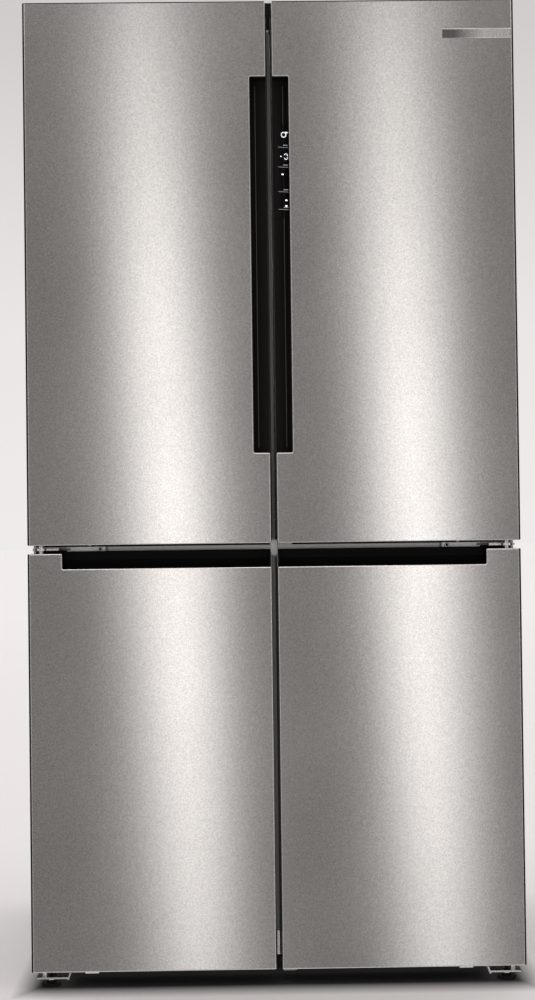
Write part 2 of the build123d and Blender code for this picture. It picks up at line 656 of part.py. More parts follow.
# ---- hinge hardware, made for the right-hand side ----
def top_hinge():
    """A flat leaf on the cabinet top that reaches over the door, with its pin pointing down."""
    z = (CABINET_TOP + CLEAR, CABINET_TOP + CLEAR + ARM_THICK)
    leaf = block((AXIS_X - 38, AXIS_X + 15), (CABINET_FRONT + 3, CABINET_FRONT + 95), z)
    arm = block((AXIS_X - 24, AXIS_X + 15), (AXIS_Y, CABINET_FRONT + 4), z)
    nose = upright(AXIS_X, AXIS_Y, z, ARM_NOSE + 3)
    web = block((AXIS_X - 15, AXIS_X + 15), (AXIS_Y, AXIS_Y + 10), z)
    pin = upright(AXIS_X, AXIS_Y, (UPPER_TOP - 20, z[1]), PIN_R)
    return leaf + arm + nose + web + pin


def middle_hinge():
    """The bracket between the doors: a plate on the crossbar, an arm, and a pin that serves both doors."""
    y = (CABINET_FRONT - HINGE_PLATE - CLEAR, CABINET_FRONT - CLEAR)
    plate = block((PLATE_INNER, DOOR_OUTER - 6.5), y, (785, 815))
    plate = fillet(plate.edges().filter_by(Axis.Y), 3)
    z = (ARM_Z, ARM_Z + ARM_THICK)
    arm = block((AXIS_X - 52, AXIS_X + 16.0), (AXIS_Y, y[1]), z)
    slant = [(AXIS_X - 53, -10), (AXIS_X - 53, 66), (AXIS_X - 12, 10)]
    arm -= level_outline(slant, (z[0] - PAST, z[1] + PAST))
    nose = upright(AXIS_X, AXIS_Y, z, ARM_NOSE)
    pin = upright(AXIS_X, AXIS_Y, (LOWER_TOP - 15, UPPER_BOTTOM + 18), PIN_R)
    collar = upright(AXIS_X, AXIS_Y, (ARM_Z, UPPER_BOTTOM - 0.4), PIN_R + 0.6)
    hinge = plate + arm + nose + pin + collar
    for x, screw_z in SCREW_PLACES:
        hinge -= along_y(x, (y[0] - PAST, y[1] + PAST), screw_z, SCREW_BORE)
    return hinge


def bottom_hinge():
    """The stepped bracket under the cabinet with the lowest pin and the threaded seat of a foot."""
    outer_x = DOOR_OUTER - 6.5
    inner_x = DOOR_OUTER - 66.5
    back = (-262.0, -258.8)
    leaf = block((inner_x, outer_x), (FRONT + 17.0, back[1]), LOW_ARM_Z)
    leaf = fillet(leaf.edges().filter_by(Axis.Z).sort_by(Axis.Y)[:2], 3)
    lean = 4.0
    flange_points = [
        (inner_x, LOW_ARM_Z[0]),
        (inner_x + 2.6, LOW_ARM_Z[0]),
        (inner_x + 2.6 - lean, LOW_FLANGE_TOP),
        (inner_x - lean, LOW_FLANGE_TOP),
    ]
    flange_face = make_face(Polyline([Vector(x, FRONT + 9.0, z) for x, z in flange_points], close=True))
    flange = extrude(flange_face, back[1] - FRONT - 9.0, dir=(0, 1, 0))
    tab_z = (PAN_Z - SHEET - CLEAR - 3.2, PAN_Z - SHEET - CLEAR)
    riser = block((inner_x, outer_x - 1), back, (LOW_ARM_Z[0], tab_z[1]))
    tab = block((inner_x, outer_x - 1), (back[0], -200), tab_z)
    boss = upright(FOOT_X, FOOT_Y, (LOW_ARM_Z[0] - 3.0, LOW_ARM_Z[1]), 8.0)
    pin = upright(AXIS_X, AXIS_Y, (LOW_ARM_Z[0], LOWER_BOTTOM + 20), PIN_R)
    collar = upright(AXIS_X, AXIS_Y, (LOW_ARM_Z[0], LOWER_BOTTOM - 0.4), PIN_R + 1.6)
    foot_bore = upright(FOOT_X, FOOT_Y, (0, LOW_ARM_Z[1] + PAST), 4.05)
    base = leaf + flange + riser + tab + boss - foot_bore
    return base + pin + collar


def center_stop():
    """The small steel bracket at the foot of the upright post."""
    y = (CABINET_FRONT - 8.0, CABINET_FRONT - CLEAR)
    face = block(sym(4.0), y, (40, 84))
    return fillet(face.edges().filter_by(Axis.Z).sort_by(Axis.Y)[:2], 1.5)


def center_plug():
    """The light grey oval plug where the crossbar meets the upright post."""
    y = (CABINET_FRONT - 2.5, CABINET_FRONT)
    plug = block(sym(6.5), y, (785, 815))
    return fillet(plug.edges().filter_by(Axis.Y), 6.0)


def screw(x, z):
    """A pan-head screw through the middle hinge plate and the front frame."""
    head_y = CABINET_FRONT - HINGE_PLATE - CLEAR
    head = along_y(x, (head_y - 2.2, head_y), z, SCREW_HEAD_R)
    head = fillet(head.faces().sort_by(Axis.Y)[0].edges(), 0.9)
    socket = along_y(x, (head_y - 2.2 - PAST, head_y - 0.9), z, 1.8)
    return head + along_y(x, (head_y, CABINET_FRONT + PLATE), z, SCREW_R) - socket


def hinge_screws():
    """Three screws for each middle hinge."""
    screws = [screw(x, z) for x, z in SCREW_PLACES]
    return screws + [left(s) for s in screws]


# ---- feet and rollers ----
def foot():
    """A screw foot: a ribbed disc with a hexagon above it and its stud."""
    disc = upright(FOOT_X, FOOT_Y, (0, FOOT_DISC), FOOT_R)
    disc = chamfer(disc.faces().sort_by(Axis.Z)[-1].edges(), 1.2)
    ribs = 16
    for i in range(ribs):
        angle = 2 * math.pi * i / ribs
        x = FOOT_X + FOOT_R * math.cos(angle)
        y = FOOT_Y + FOOT_R * math.sin(angle)
        disc -= upright(x, y, (1.5, FOOT_DISC + PAST), 1.2)
    hexagon = extrude(Pos(FOOT_X, FOOT_Y, FOOT_DISC - PAST) * RegularPolygon(9.0, 6), 3.5)
    return disc + hexagon + upright(FOOT_X, FOOT_Y, (FOOT_DISC, LOW_ARM_Z[1] + 7.0), 4.0)


def roller():
    """A rear roller with its axle."""
    wheel = along_x((ROLLER_X - 7, ROLLER_X + 7), ROLLER_Y, ROLLER_R, ROLLER_R)
    wheel = chamfer(wheel.edges().filter_by(GeomType.CIRCLE), 1.0)
    return wheel + along_x((EAR_X[0] - 2, EAR_X[1] + 5), ROLLER_Y, ROLLER_R, 4.0)


# ---- machine room ----
def compressor():
    """The hermetic compressor: a domed can on a foot plate with four mounts and a terminal box."""
    x, y, base = 150.0, 256.0, BASE_PLATE_Z[1] + CLEAR
    can = upright(x, y, (base + 16, base + 172), 72.0)
    can = fillet(can.edges().filter_by(GeomType.CIRCLE), 30)
    seam = upright(x, y, (base + 88, base + 94), 75.0)
    feet = block((x - 92, x + 92), (y - 62, y + 62), (base + 10, base + 14))
    saddle = upright(x, y, (base + 13, base + 40), 44.0)
    box = block((x + 60, x + 102), (y - 30, y + 30), (base + 60, base + 120))
    unit = can + seam + feet + saddle + box
    for dx in (-78, 78):
        for dy in (-48, 48):
            unit += upright(x + dx, y + dy, (base, base + 11), 12.0)
    pipe = upright(x - 30, y + 20, (base + 150, base + 190), 4.0)
    return unit + pipe


def finned_coil(x, y, z, fins, rows):
    """A coil of level tubes through upright fins, all in one solid."""
    pitch = (x[1] - x[0]) / (fins - 1)
    pieces = [block((x[0] + i * pitch - 0.6, x[0] + i * pitch + 0.6), y, z) for i in range(fins)]
    depths = [y[0] + (y[1] - y[0]) * share for share in (0.3, 0.7)]
    step = (z[1] - z[0]) / rows
    for i in range(rows):
        for depth in depths:
            pieces.append(along_x((x[0] - 10, x[1] + 10), depth, z[0] + (i + 0.5) * step, 4.0))
    header_z = (z[0] + step / 2 - 4, z[1] - step / 2 + 4)
    for end in (x[0] - 10, x[1] + 6):
        pieces.append(block((end, end + 4), (depths[0] - 4, depths[1] + 4), header_z))
    return pieces[0].fuse(*pieces[1:])


def condenser():
    """The condenser coil in the machine room."""
    return finned_coil((-330.0, -100.0), (190.0, 326.0), (BASE_PLATE_Z[1] + CLEAR, 214.0), 24, 5)


def evaporator():
    """The evaporator coil behind the left freezer compartment."""
    return finned_coil((-376.0, -66.0), (250.0, 292.0), (498.0, 708.0), 28, 6)


def fan_blades(reach, thick, count):
    """A hub along Z with pitched blades, centred on the origin."""
    hub = Cylinder(reach * 0.32, thick)
    wheel = hub
    for i in range(count):
        blade = Pos(reach * 0.63, 0, 0) * Rot(32, 0, 0) * Box(reach * 0.72, reach * 0.62, 1.8)
        blade = blade & Cylinder(reach, thick * 1.6)
        wheel += Rot(0, 0, 360.0 * i / count) * blade
    return wheel


def cool_fan():
    """The condenser fan wheel, on a level axis along X."""
    return Pos(*COOL_FAN) * Rot(0, 90, 0) * fan_blades(COOL_FAN_R, 16, 5)


def cold_fan():
    """The evaporator fan wheel, on a level axis along Y."""
    return Pos(*COLD_FAN) * Rot(90, 0, 0) * fan_blades(COLD_FAN_R, 12, 5)


def fan_frame(reach, thick, half):
    """A square fan frame along Z with a round port and a motor held by three struts."""
    ring = Box(2 * half, 2 * half, thick) - Cylinder(reach + 3, thick + 2)
    motor = Pos(0, 0, thick / 2 - 2) * Cylinder(reach * 0.3, 4)
    for i in range(3):
        ring += Rot(0, 0, 90 + 120 * i) * Pos(reach / 2 + 2, 0, thick / 2 - 2) * Box(reach + 6, 6, 4)
    return ring + motor


def fan_frames():
    """The frames of both fans, each behind its wheel."""
    cool = Pos(COOL_FAN[0] - 10, COOL_FAN[1], COOL_FAN[2]) * Rot(0, -90, 0) * fan_frame(COOL_FAN_R, 40, 74)
    cold = Pos(COLD_FAN[0], COLD_FAN[1] + 3, COLD_FAN[2]) * Rot(-90, 0, 0) * fan_frame(COLD_FAN_R, 34, 62)
    return [cool, cold]


def machine_cover():
    """The louvred sheet over the back of the machine room."""
    y = (CABINET_BACK - 6.5, CABINET_BACK - 5.3)
    cover = block(sym(CABINET_HALF - SHEET - 3), y, (52, MACHINE_TOP - 3))
    for row in range(7):
        z = 84 + row * 22
        for column in range(6):
            x = -370 + column * 118
            cover -= block((x, x + 96), (y[0] - PAST, y[1] + PAST), (z, z + 7))
    return cover - block((366, 404), (y[0] - PAST, y[1] + PAST), (84, 116))


def mains_inlet():
    """The socket for the mains lead, in the machine cover."""
    y = (CABINET_BACK - 36, CABINET_BACK - 2)
    body = block((366.2, 403.8), y, (84.2, 115.8))
    body += block((362, 408), (y[1] - 3.2, y[1]), (80, 120))
    body -= block((371, 399), (y[1] - 18, y[1] + PAST), (90, 110))
    for x in (377, 385, 393):
        body += block((x - 1, x + 1), (y[1] - 19, y[1] - 4), (97, 103))
    return body


# ---- inside the cabinet ----
def fridge_duct():
    """The upright air duct on the rear wall of the refrigerator compartment."""
    y = (CAVITY_REAR - 14, CAVITY_REAR - CLEAR)
    duct = block(sym(150), y, (1066, 1758))
    duct = fillet(duct.edges().filter_by(Axis.Z).sort_by(Axis.Y)[:2], 6)
    duct -= block(sym(146), (y[0] + 2.5, y[1] + PAST), (1070, 1754))
    for row in range(3):
        z = 1190 + row * 240
        for side in (-1, 1):
            duct -= block((side * 40, side * 120), (y[0] - PAST, y[0] + 5), (z, z + 12))
    return duct


def freezer_duct():
    """The air panel in front of the rear space of the right freezer compartment."""
    y = (238.0, 241.0)
    panel = block((POST_HALF + LINER + 1, CAVITY_HALF - 1), y, (STEP_Z + 1, FREEZER_CEILING - 1))
    for row in range(5):
        z = 360 + row * 78
        for column in range(3):
            x = 62 + column * 112
            panel -= block((x, x + 92), (y[0] - PAST, y[1] + PAST), (z, z + 9))
    return panel


def glass_shelves():
    """Three glass panes, the lowest of them over the crispers."""
    panes = []
    for top in SHELF_TOPS:
        pane = block(sym(CAVITY_HALF - 1.5), (SHELF_FRONT, SHELF_BACK), (top - SHELF_THICK, top))
        panes.append(fillet(pane.edges().filter_by(Axis.Z), 6))
    return panes


def drawer(x, y, z, wall=DRAWER_WALL, corner=10.0):
    """An open box with a thicker front that has a scooped pull along its top."""
    body = block(x, y, z)
    body = fillet(body.edges().filter_by(Axis.Z), corner)
    hollow = block((x[0] + wall, x[1] - wall), (y[0] + 14, y[1] - wall), (z[0] + wall, z[1] + PAST))
    hollow = fillet(hollow.edges().filter_by(Axis.Z), corner - wall)
    body -= hollow
    scoop_x = ((x[0] + x[1]) / 2 - 90, (x[0] + x[1]) / 2 + 90)
    return body - block(scoop_x, (y[0] - PAST, y[0] + 10.5), (z[1] - 34, z[1] - 8))


def crisper():
    """The right crisper drawer."""
    return drawer((7.0, CAVITY_HALF - 4.0), (CRISPER_FRONT, CRISPER_BACK), CRISPER_Z)


def freezer_drawer(name):
    """A right freezer drawer: the bottom one is shorter, in front of the machine room."""
    floor = DRAWER_FLOORS[name]
    back = LOW_DRAWER_BACK if name == "bottom" else DRAWER_BACK
    x = (POST_HALF + LINER + 3, CAVITY_HALF - 3)
    return drawer(x, (DRAWER_FRONT, back), (floor, floor + DRAWER_HEIGHT))


def control_board():
    """The main circuit board under the top cover, with its larger components."""
    z = CABINET_TOP + 3.0
    board = block((-110, 110), (-262, -186), (z, z + 1.6))
    for x in (-95, 95):
        for y in (-255, -193):
            board += upright(x, y, (CABINET_TOP + CLEAR, z + 0.5), 3.0)
    board += block((-90, -50), (-250, -215), (z, z + 14))
    board += block((-30, 10), (-245, -200), (z, z + 9))
    board += upright(40, -225, (z, z + 14), 9.0)
    return board + block((60, 100), (-250, -240), (z, z + 10))


# ---- writing the parts ----
def door_nodes(prefix, pieces):
    """The nodes of a door on the right, or mirrored onto the left."""
    nodes = {}
    for name, shape in pieces.items():
        solids = shape if isinstance(shape, list) else [shape]
        if prefix.startswith("left"):
            solids = [left(s) for s in solids]
        nodes[f"{prefix}_{name}"] = solids
    return nodes


def all_nodes():
    """Every node's name with its list of solids."""
    upper = {
        "skin": [door_skin((UPPER_BOTTOM, UPPER_TOP), upper_notch())],
        "core": upper_core(),
        "caps": upper_caps(),
        "grip": upper_grip(),
        "gasket": gasket((UPPER_BOTTOM, UPPER_TOP)),
        "bins": door_bins(),
    }
    lower = {
        "skin": [door_skin((LOWER_BOTTOM, LOWER_TOP), lower_notch()), outer_stop()],
        "core": lower_core(),
        "caps": lower_caps(),
        "gasket": gasket((LOWER_BOTTOM, LOWER_TOP)),
    }
    nodes = {}
    stops = inner_stops()
    for side in ("left", "right"):
        nodes.update(door_nodes(f"{side}_door", upper))
        nodes.update(door_nodes(f"{side}_freezer_door", lower))
        nodes.update(door_nodes(side, {"crisper": crisper(), "foot": foot(), "roller": roller()}))
        drawers = {f"freezer_drawer_{name}": freezer_drawer(name) for name in DRAWER_FLOORS}
        nodes.update(door_nodes(side, drawers))
    nodes["right_door_skin"].append(stops["upper"])
    nodes["right_freezer_door_skin"].append(stops["lower"])
    nodes["display_panel"] = [display_panel()]
    nodes["trim_bar"] = [badge()]
    nodes["mullion"] = [mullion()]
    nodes["mullion_arms"] = [mullion_arm(z) for z in MULLION_ARM_Z]
    nodes["cabinet_shell"] = [cabinet_shell()]
    nodes["cabinet_foam"] = [cabinet_foam()]
    nodes["fridge_liner"] = [fridge_liner()]
    nodes["freezer_liners"] = [freezer_liner(), left(freezer_liner())]
    nodes["front_frame"] = [front_frame()]
    nodes["rear_panel"] = [rear_panel()]
    nodes["base_pan"] = base_pan()
    nodes["kickplate"] = [kickplate()]
    nodes["top_cover"] = [top_cover()]
    nodes["top_hinges"] = [top_hinge(), left(top_hinge())]
    nodes["middle_hinges"] = [middle_hinge(), left(middle_hinge())]
    nodes["bottom_hinges"] = [bottom_hinge(), left(bottom_hinge()), center_stop()]
    nodes["hinge_screws"] = hinge_screws()
    nodes["compressor"] = [compressor()]
    nodes["condenser"] = [condenser()]
    nodes["evaporator"] = [evaporator()]
    nodes["condenser_fan"] = [cool_fan()]
    nodes["evaporator_fan"] = [cold_fan()]
    nodes["center_plug"] = [center_plug()]
    nodes["machine_cover"] = [machine_cover()]
    nodes["mains_inlet"] = [mains_inlet()]
    nodes["air_guides"] = [fridge_duct(), freezer_duct(), left(freezer_duct())] + fan_frames()
    nodes["glass_shelves"] = glass_shelves()
    nodes["control_board"] = [control_board()]
    return nodes


def main():
    """Writes one STEP file for each node."""
    os.makedirs("parts", exist_ok=True)
    for name, shapes in all_nodes().items():
        solids = [solid for shape in shapes for solid in shape.solids()]
        whole = solids[0] if len(solids) == 1 else Compound(solids)
        export_step(whole, f"parts/{name}.step")
        print(name, len(solids))


if __name__ == "__main__":
    main()
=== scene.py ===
"""A four-door french door refrigerator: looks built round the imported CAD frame."""
import json
import math

import bmesh
import bpy
from mathutils import Matrix, Vector


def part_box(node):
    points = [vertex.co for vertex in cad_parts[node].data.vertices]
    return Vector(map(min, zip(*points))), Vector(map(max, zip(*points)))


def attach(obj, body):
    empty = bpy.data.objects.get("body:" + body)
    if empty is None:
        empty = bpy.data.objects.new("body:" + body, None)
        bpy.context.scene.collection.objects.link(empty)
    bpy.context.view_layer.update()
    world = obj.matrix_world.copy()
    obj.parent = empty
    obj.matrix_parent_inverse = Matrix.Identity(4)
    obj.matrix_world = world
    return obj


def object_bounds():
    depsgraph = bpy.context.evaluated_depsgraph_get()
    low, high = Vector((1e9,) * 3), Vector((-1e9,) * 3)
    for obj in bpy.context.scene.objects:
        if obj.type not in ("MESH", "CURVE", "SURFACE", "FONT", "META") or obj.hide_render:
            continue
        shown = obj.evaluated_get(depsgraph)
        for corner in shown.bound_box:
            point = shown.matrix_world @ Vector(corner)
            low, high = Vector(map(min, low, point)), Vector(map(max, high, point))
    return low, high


MM = 0.001
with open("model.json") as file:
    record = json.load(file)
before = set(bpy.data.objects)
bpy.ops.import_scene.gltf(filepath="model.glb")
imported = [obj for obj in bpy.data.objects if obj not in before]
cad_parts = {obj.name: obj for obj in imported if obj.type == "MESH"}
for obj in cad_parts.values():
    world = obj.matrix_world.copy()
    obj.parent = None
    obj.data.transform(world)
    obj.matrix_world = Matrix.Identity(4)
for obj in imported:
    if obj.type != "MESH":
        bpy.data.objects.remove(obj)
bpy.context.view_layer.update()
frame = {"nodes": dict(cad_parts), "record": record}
nodes = frame["nodes"]
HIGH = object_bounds()[1]
FACE_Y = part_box("right_door_skin")[0].y
UPPER_DOORS = ("left_door", "right_door")
LOWER_DOORS = ("left_freezer_door", "right_freezer_door")
DOORS = UPPER_DOORS + LOWER_DOORS
# How far a fitting sinks into the wall that it stands on.
OVERLAP = 0.3 * MM
# Where the middle hinges' plates end, under the upper doors.
PLATES_TOP = 805.5 * MM
# Faces that meet at more than this angle are shaded with a hard edge between them.
SHARP_EDGE = math.radians(20)
# Edges that turn by more than this, in radians, get a bevel.
BEVELLED_TURN = 0.6


# ---- camera ----
def make_camera():
    """A long lens a little left of centre, with a slight upward tilt and roll."""
    yaw, pitch, roll = (math.radians(a) for a in (0.731, 0.86, -0.704))
    forward = Vector((math.sin(yaw) * math.cos(pitch), math.cos(yaw) * math.cos(pitch), math.sin(pitch)))
    level = Vector((math.cos(yaw), -math.sin(yaw), 0))
    up = level.cross(forward)
    right = level * math.cos(roll) + up * math.sin(roll)
    upward = up * math.cos(roll) - level * math.sin(roll)
    camera = bpy.data.objects.new("camera", bpy.data.cameras.new("camera"))
    bpy.context.scene.collection.objects.link(camera)
    camera.data.lens = 58.83
    camera.data.sensor_width = 36
    camera.data.clip_end = 100
    basis = Matrix((right, upward, -forward)).transposed().to_4x4()
    camera.matrix_world = Matrix.Translation((-0.050, FACE_Y - 2.9987, 0.8431)) @ basis
    bpy.context.scene.camera = camera


# ---- node helpers ----
class Nodes:
    """A short way to write a material's node tree."""

    def __init__(self, name):
        self.material = bpy.data.materials.new(name)
        self.material.use_nodes = True
        self.tree = self.material.node_tree
        self.shader = self.tree.nodes["Principled BSDF"]

    def add(self, kind, inputs=None, **settings):
        """A node with its settings and its input values or links."""
        node = self.tree.nodes.new(kind)
        for key, value in settings.items():
            setattr(node, key, value)
        for key, value in (inputs or {}).items():
            self.feed(node.inputs[key], value)
        return node

    def feed(self, socket, value):
        """Sets a socket's value, or links it to an output."""
        if isinstance(value, bpy.types.NodeSocket):
            self.tree.links.new(value, socket)
        else:
            socket.default_value = value

    def noise(self, stretch, scale, detail):
        """Noise on object coordinates, stretched by a vector."""
        place = self.add("ShaderNodeTexCoord").outputs["Object"]
        mapped = self.add("ShaderNodeMapping", {"Vector": place, "Scale": stretch}).outputs[0]
        values = {"Vector": mapped, "Scale": scale, "Detail": detail}
        return self.add("ShaderNodeTexNoise", values).outputs["Fac"]

    def span(self, value, low, high, from_low=0.3, from_high=0.7):
        """Maps a value onto a new range."""
        values = {"Value": value, "From Min": from_low, "From Max": from_high, "To Min": low, "To Max": high}
        return self.add("ShaderNodeMapRange", values).outputs[0]

    def tint(self, factor, first, second):
        """A mix of two colours."""
        mix = self.add("ShaderNodeMix", data_type="RGBA")
        self.feed(mix.inputs[0], factor)
        self.feed(mix.inputs[6], (*first, 1))
        self.feed(mix.inputs[7], (*second, 1))
        return mix.outputs[2]

    def bump(self, height, strength, distance):
        """Feeds a bump into the shader's normal."""
        values = {"Height": height, "Strength": strength, "Distance": distance}
        normal = self.add("ShaderNodeBump", values).outputs[0]
        self.feed(self.shader.inputs["Normal"], normal)

    def set(self, **values):
        """Sets the shader's sockets: an underscore in a key stands for a space."""
        for key, value in values.items():
            if isinstance(value, tuple) and len(value) == 3:
                value = (*value, 1)
            self.feed(self.shader.inputs[key.replace("_", " ")], value)


def shade(color, factor):
    """A colour made lighter or darker."""
    return tuple(min(1.0, c * factor) for c in color)


# ---- materials ----
def steel(name, color, roughness, anisotropy, grain=1.0, turn=0.25):
    """Stainless sheet with a fine speckle: its reflections spread upright, or level when `turn` is 0."""
    m = Nodes(name)
    brush = m.noise((2.0, 2.0, 160.0), 12.0, 3.0)
    speckle = m.noise((1.0, 1.0, 1.0), 465.0, 1.0)
    cloud = m.noise((1.0, 1.0, 0.7), 5.0, 2.0)
    both = m.add("ShaderNodeMath", {0: brush, 1: speckle}, operation="ADD").outputs[0]
    depth = 0.155 * grain
    base = m.tint(m.span(speckle, 0, 1, 0.25, 0.75), shade(color, 1 - depth), shade(color, 1 + depth))
    spots = m.span(cloud, roughness - 0.012, roughness + 0.012)
    m.set(Base_Color=base, Metallic=1.0, Roughness=spots, Anisotropic=anisotropy, Anisotropic_Rotation=turn)
    tangent = m.add("ShaderNodeTangent", direction_type="RADIAL", axis="Z").outputs[0]
    m.feed(m.shader.inputs["Tangent"], tangent)
    m.bump(both, 0.03 * grain, 0.0002)
    return m.material


def trim(name, dark, light):
    """Polished trim with painted shade: its steel colour runs from a dark inner end to bright steel."""
    m = Nodes(name)
    inner_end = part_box("trim_bar")[0].x
    place = m.add("ShaderNodeTexCoord").outputs["Object"]
    along = m.add("ShaderNodeSeparateXYZ", {0: place}).outputs[0]
    # Painted shade: the colour is dark up to 22 mm from the inner end and fades to bright steel by 78 mm.
    painted_shade_fade = m.span(along, 0, 1, inner_end + 22 * MM, inner_end + 78 * MM)
    fine = m.noise((1, 1, 1), 700.0, 2.0)
    m.set(Base_Color=m.tint(painted_shade_fade, dark, light), Metallic=1.0, Roughness=m.span(fine, 0.22, 0.28))
    m.bump(fine, 0.02, 0.0001)
    return m.material


def metal(name, color, roughness):
    """Plain plated or rolled metal with slight tarnish."""
    m = Nodes(name)
    cloud = m.noise((1, 1, 1), 40.0, 3.0)
    fine = m.noise((1, 1, 1), 900.0, 2.0)
    m.set(Base_Color=m.tint(cloud, shade(color, 0.9), shade(color, 1.06)), Metallic=1.0,
          Roughness=m.span(cloud, roughness * 0.8, roughness * 1.2))
    m.bump(fine, 0.08, 0.0003)
    return m.material


def plastic(name, color, roughness, grain, bump, coat=0.0, gloss=0.5):
    """Moulded plastic with an even leather-fine grain."""
    m = Nodes(name)
    fine = m.noise((1, 1, 1), grain, 2.0)
    cloud = m.noise((1, 1, 1), 9.0, 2.0)
    m.set(Base_Color=m.tint(cloud, shade(color, 0.96), shade(color, 1.04)),
          Roughness=m.span(fine, roughness - 0.05, roughness + 0.05), Coat_Weight=coat, Coat_Roughness=0.08,
          Specular_IOR_Level=gloss)
    m.bump(fine, bump, 0.0004)
    return m.material


def paint(name, color, roughness):
    """Coated sheet with a faint orange peel."""
    m = Nodes(name)
    peel = m.noise((1, 1, 1), 260.0, 2.0)
    cloud = m.noise((1, 1, 1), 4.0, 2.0)
    m.set(Base_Color=m.tint(cloud, shade(color, 0.97), shade(color, 1.03)), Metallic=0.25,
          Roughness=m.span(peel, roughness - 0.04, roughness + 0.04))
    m.bump(peel, 0.12, 0.0003)
    return m.material


def clear(name, color, roughness, alpha):
    """Clear moulded plastic or glass."""
    m = Nodes(name)
    ripple = m.noise((1, 1, 1), 18.0, 2.0)
    m.set(Base_Color=m.tint(ripple, shade(color, 0.98), shade(color, 1.0)), Roughness=roughness, IOR=1.49,
          Transmission_Weight=0.85, Alpha=alpha)
    m.bump(ripple, 0.05, 0.001)
    return m.material


def rubber(name, color):
    """Soft matt seal with a dusty bloom."""
    m = Nodes(name)
    bloom = m.noise((1, 1, 1), 60.0, 4.0)
    m.set(Base_Color=m.tint(bloom, shade(color, 0.85), shade(color, 1.2)), Roughness=0.7, Sheen_Weight=0.15)
    m.bump(bloom, 0.15, 0.0004)
    return m.material


def foam(name, color):
    """Rigid foam with open cells."""
    m = Nodes(name)
    cells = m.add("ShaderNodeTexVoronoi", {"Scale": 320.0}).outputs["Distance"]
    cloud = m.noise((1, 1, 1), 20.0, 3.0)
    m.set(Base_Color=m.tint(cloud, shade(color, 0.85), shade(color, 1.05)), Roughness=0.9)
    m.bump(cells, 0.4, 0.001)
    return m.material


def glow(name, color, strength):
    """An even light, for the touch panel's icons and the inner lamps."""
    m = Nodes(name)
    cloud = m.noise((1, 1, 1), 300.0, 1.0)
    m.set(Base_Color=m.tint(cloud, shade(color, 0.9), color), Roughness=0.4, Emission_Color=color,
          Emission_Strength=strength)
    return m.material


def make_materials():
    """One material for each of the record's slots, and a few more for the detail pieces."""
    return {
        "stainless": steel("stainless", (0.62, 0.595, 0.575), 0.19, 0.9),
        "door_liner": plastic("door_liner", (0.86, 0.87, 0.87), 0.32, 500.0, 0.04, coat=0.2),
        "cap_black": plastic("cap_black", (0.0022, 0.0020, 0.0019), 0.5, 900.0, 0.2, gloss=0.05),
        "grip_black": plastic("grip_black", (0.0050, 0.0043, 0.0040), 0.5, 1100.0, 0.12, gloss=0.10),
        "seal_grey": rubber("seal_grey", (0.035, 0.034, 0.034)),
        "clear_plastic": clear("clear_plastic", (0.90, 0.96, 0.98), 0.08, 0.55),
        "cabinet_paint": paint("cabinet_paint", (0.36, 0.355, 0.35), 0.40),
        "foam": foam("foam", (0.80, 0.70, 0.42)),
        "white_liner": plastic("white_liner", (0.84, 0.855, 0.86), 0.3, 420.0, 0.05, coat=0.25),
        "frame_steel": paint("frame_steel", (0.30, 0.292, 0.285), 0.45),
        "rear_sheet": paint("rear_sheet", (0.42, 0.43, 0.43), 0.5),
        "zinc_steel": metal("zinc_steel", (0.48, 0.49, 0.50), 0.45),
        "black_plastic": plastic("black_plastic", (0.0045, 0.0042, 0.0040), 0.55, 800.0, 0.25, gloss=0.12),
        "grey_plastic": plastic("grey_plastic", (0.13, 0.13, 0.13), 0.5, 800.0, 0.2),
        "light_grey_plastic": plastic("light_grey_plastic", (0.80, 0.785, 0.77), 0.35, 900.0, 0.1),
        "white_plastic": plastic("white_plastic", (0.82, 0.83, 0.83), 0.4, 800.0, 0.08),
        "hinge_steel": metal("hinge_steel", (0.80, 0.79, 0.77), 0.28),
        "screw_steel": metal("screw_steel", (0.70, 0.69, 0.68), 0.25),
        "black_paint": paint("black_paint", (0.012, 0.012, 0.013), 0.3),
        "coil_metal": metal("coil_metal", (0.72, 0.73, 0.74), 0.35),
        "shelf_glass": clear("shelf_glass", (0.86, 0.97, 0.93), 0.02, 0.5),
        "circuit_board": plastic("circuit_board", (0.02, 0.12, 0.05), 0.4, 300.0, 0.15),
        "mullion_grey": plastic("mullion_grey", (0.24, 0.229, 0.221), 0.55, 700.0, 0.1, gloss=0.2),
        "display_black": plastic("display_black", (0.004, 0.0037, 0.0035), 0.35, 300.0, 0.01, gloss=0.12),
        # The trim's dark colour is painted shade at its inner end.
        "trim_metal": trim("trim_metal", (0.20, 0.193, 0.187), (0.92, 0.885, 0.855)),
        "icon_white": glow("icon_white", (0.9, 0.92, 0.95), 1.6),
        "icon_grey": glow("icon_grey", (0.45, 0.45, 0.46), 0.25),
        "lamp_white": glow("lamp_white", (1.0, 0.98, 0.94), 4.5),
        # Satin grey steel for the crossbar strip; on the hinge fillers it is painted shade.
        "bar_grey": steel("bar_grey", (0.46, 0.443, 0.432), 0.38, 0.95, 0.6, turn=0.0),
        # Full-bright steel for the hinge plates: its colour is partly a painted highlight.
        "plate_pale": steel("plate_pale", (1.0, 0.985, 0.965), 0.48, 0.97, 0.4, turn=0.0),
        "copper": metal("copper", (0.70, 0.36, 0.22), 0.3),
        "satin_silver": steel("satin_silver", (0.78, 0.78, 0.77), 0.3, 0.5, 0.5),
    }


def dress_nodes(materials):
    """Gives every CAD node the material of its slot."""
    for part in frame["record"]["subparts"]:
        node = nodes[part["node"]]
        node.data.materials.clear()
        node.data.materials.append(materials[part["material_slot"]])


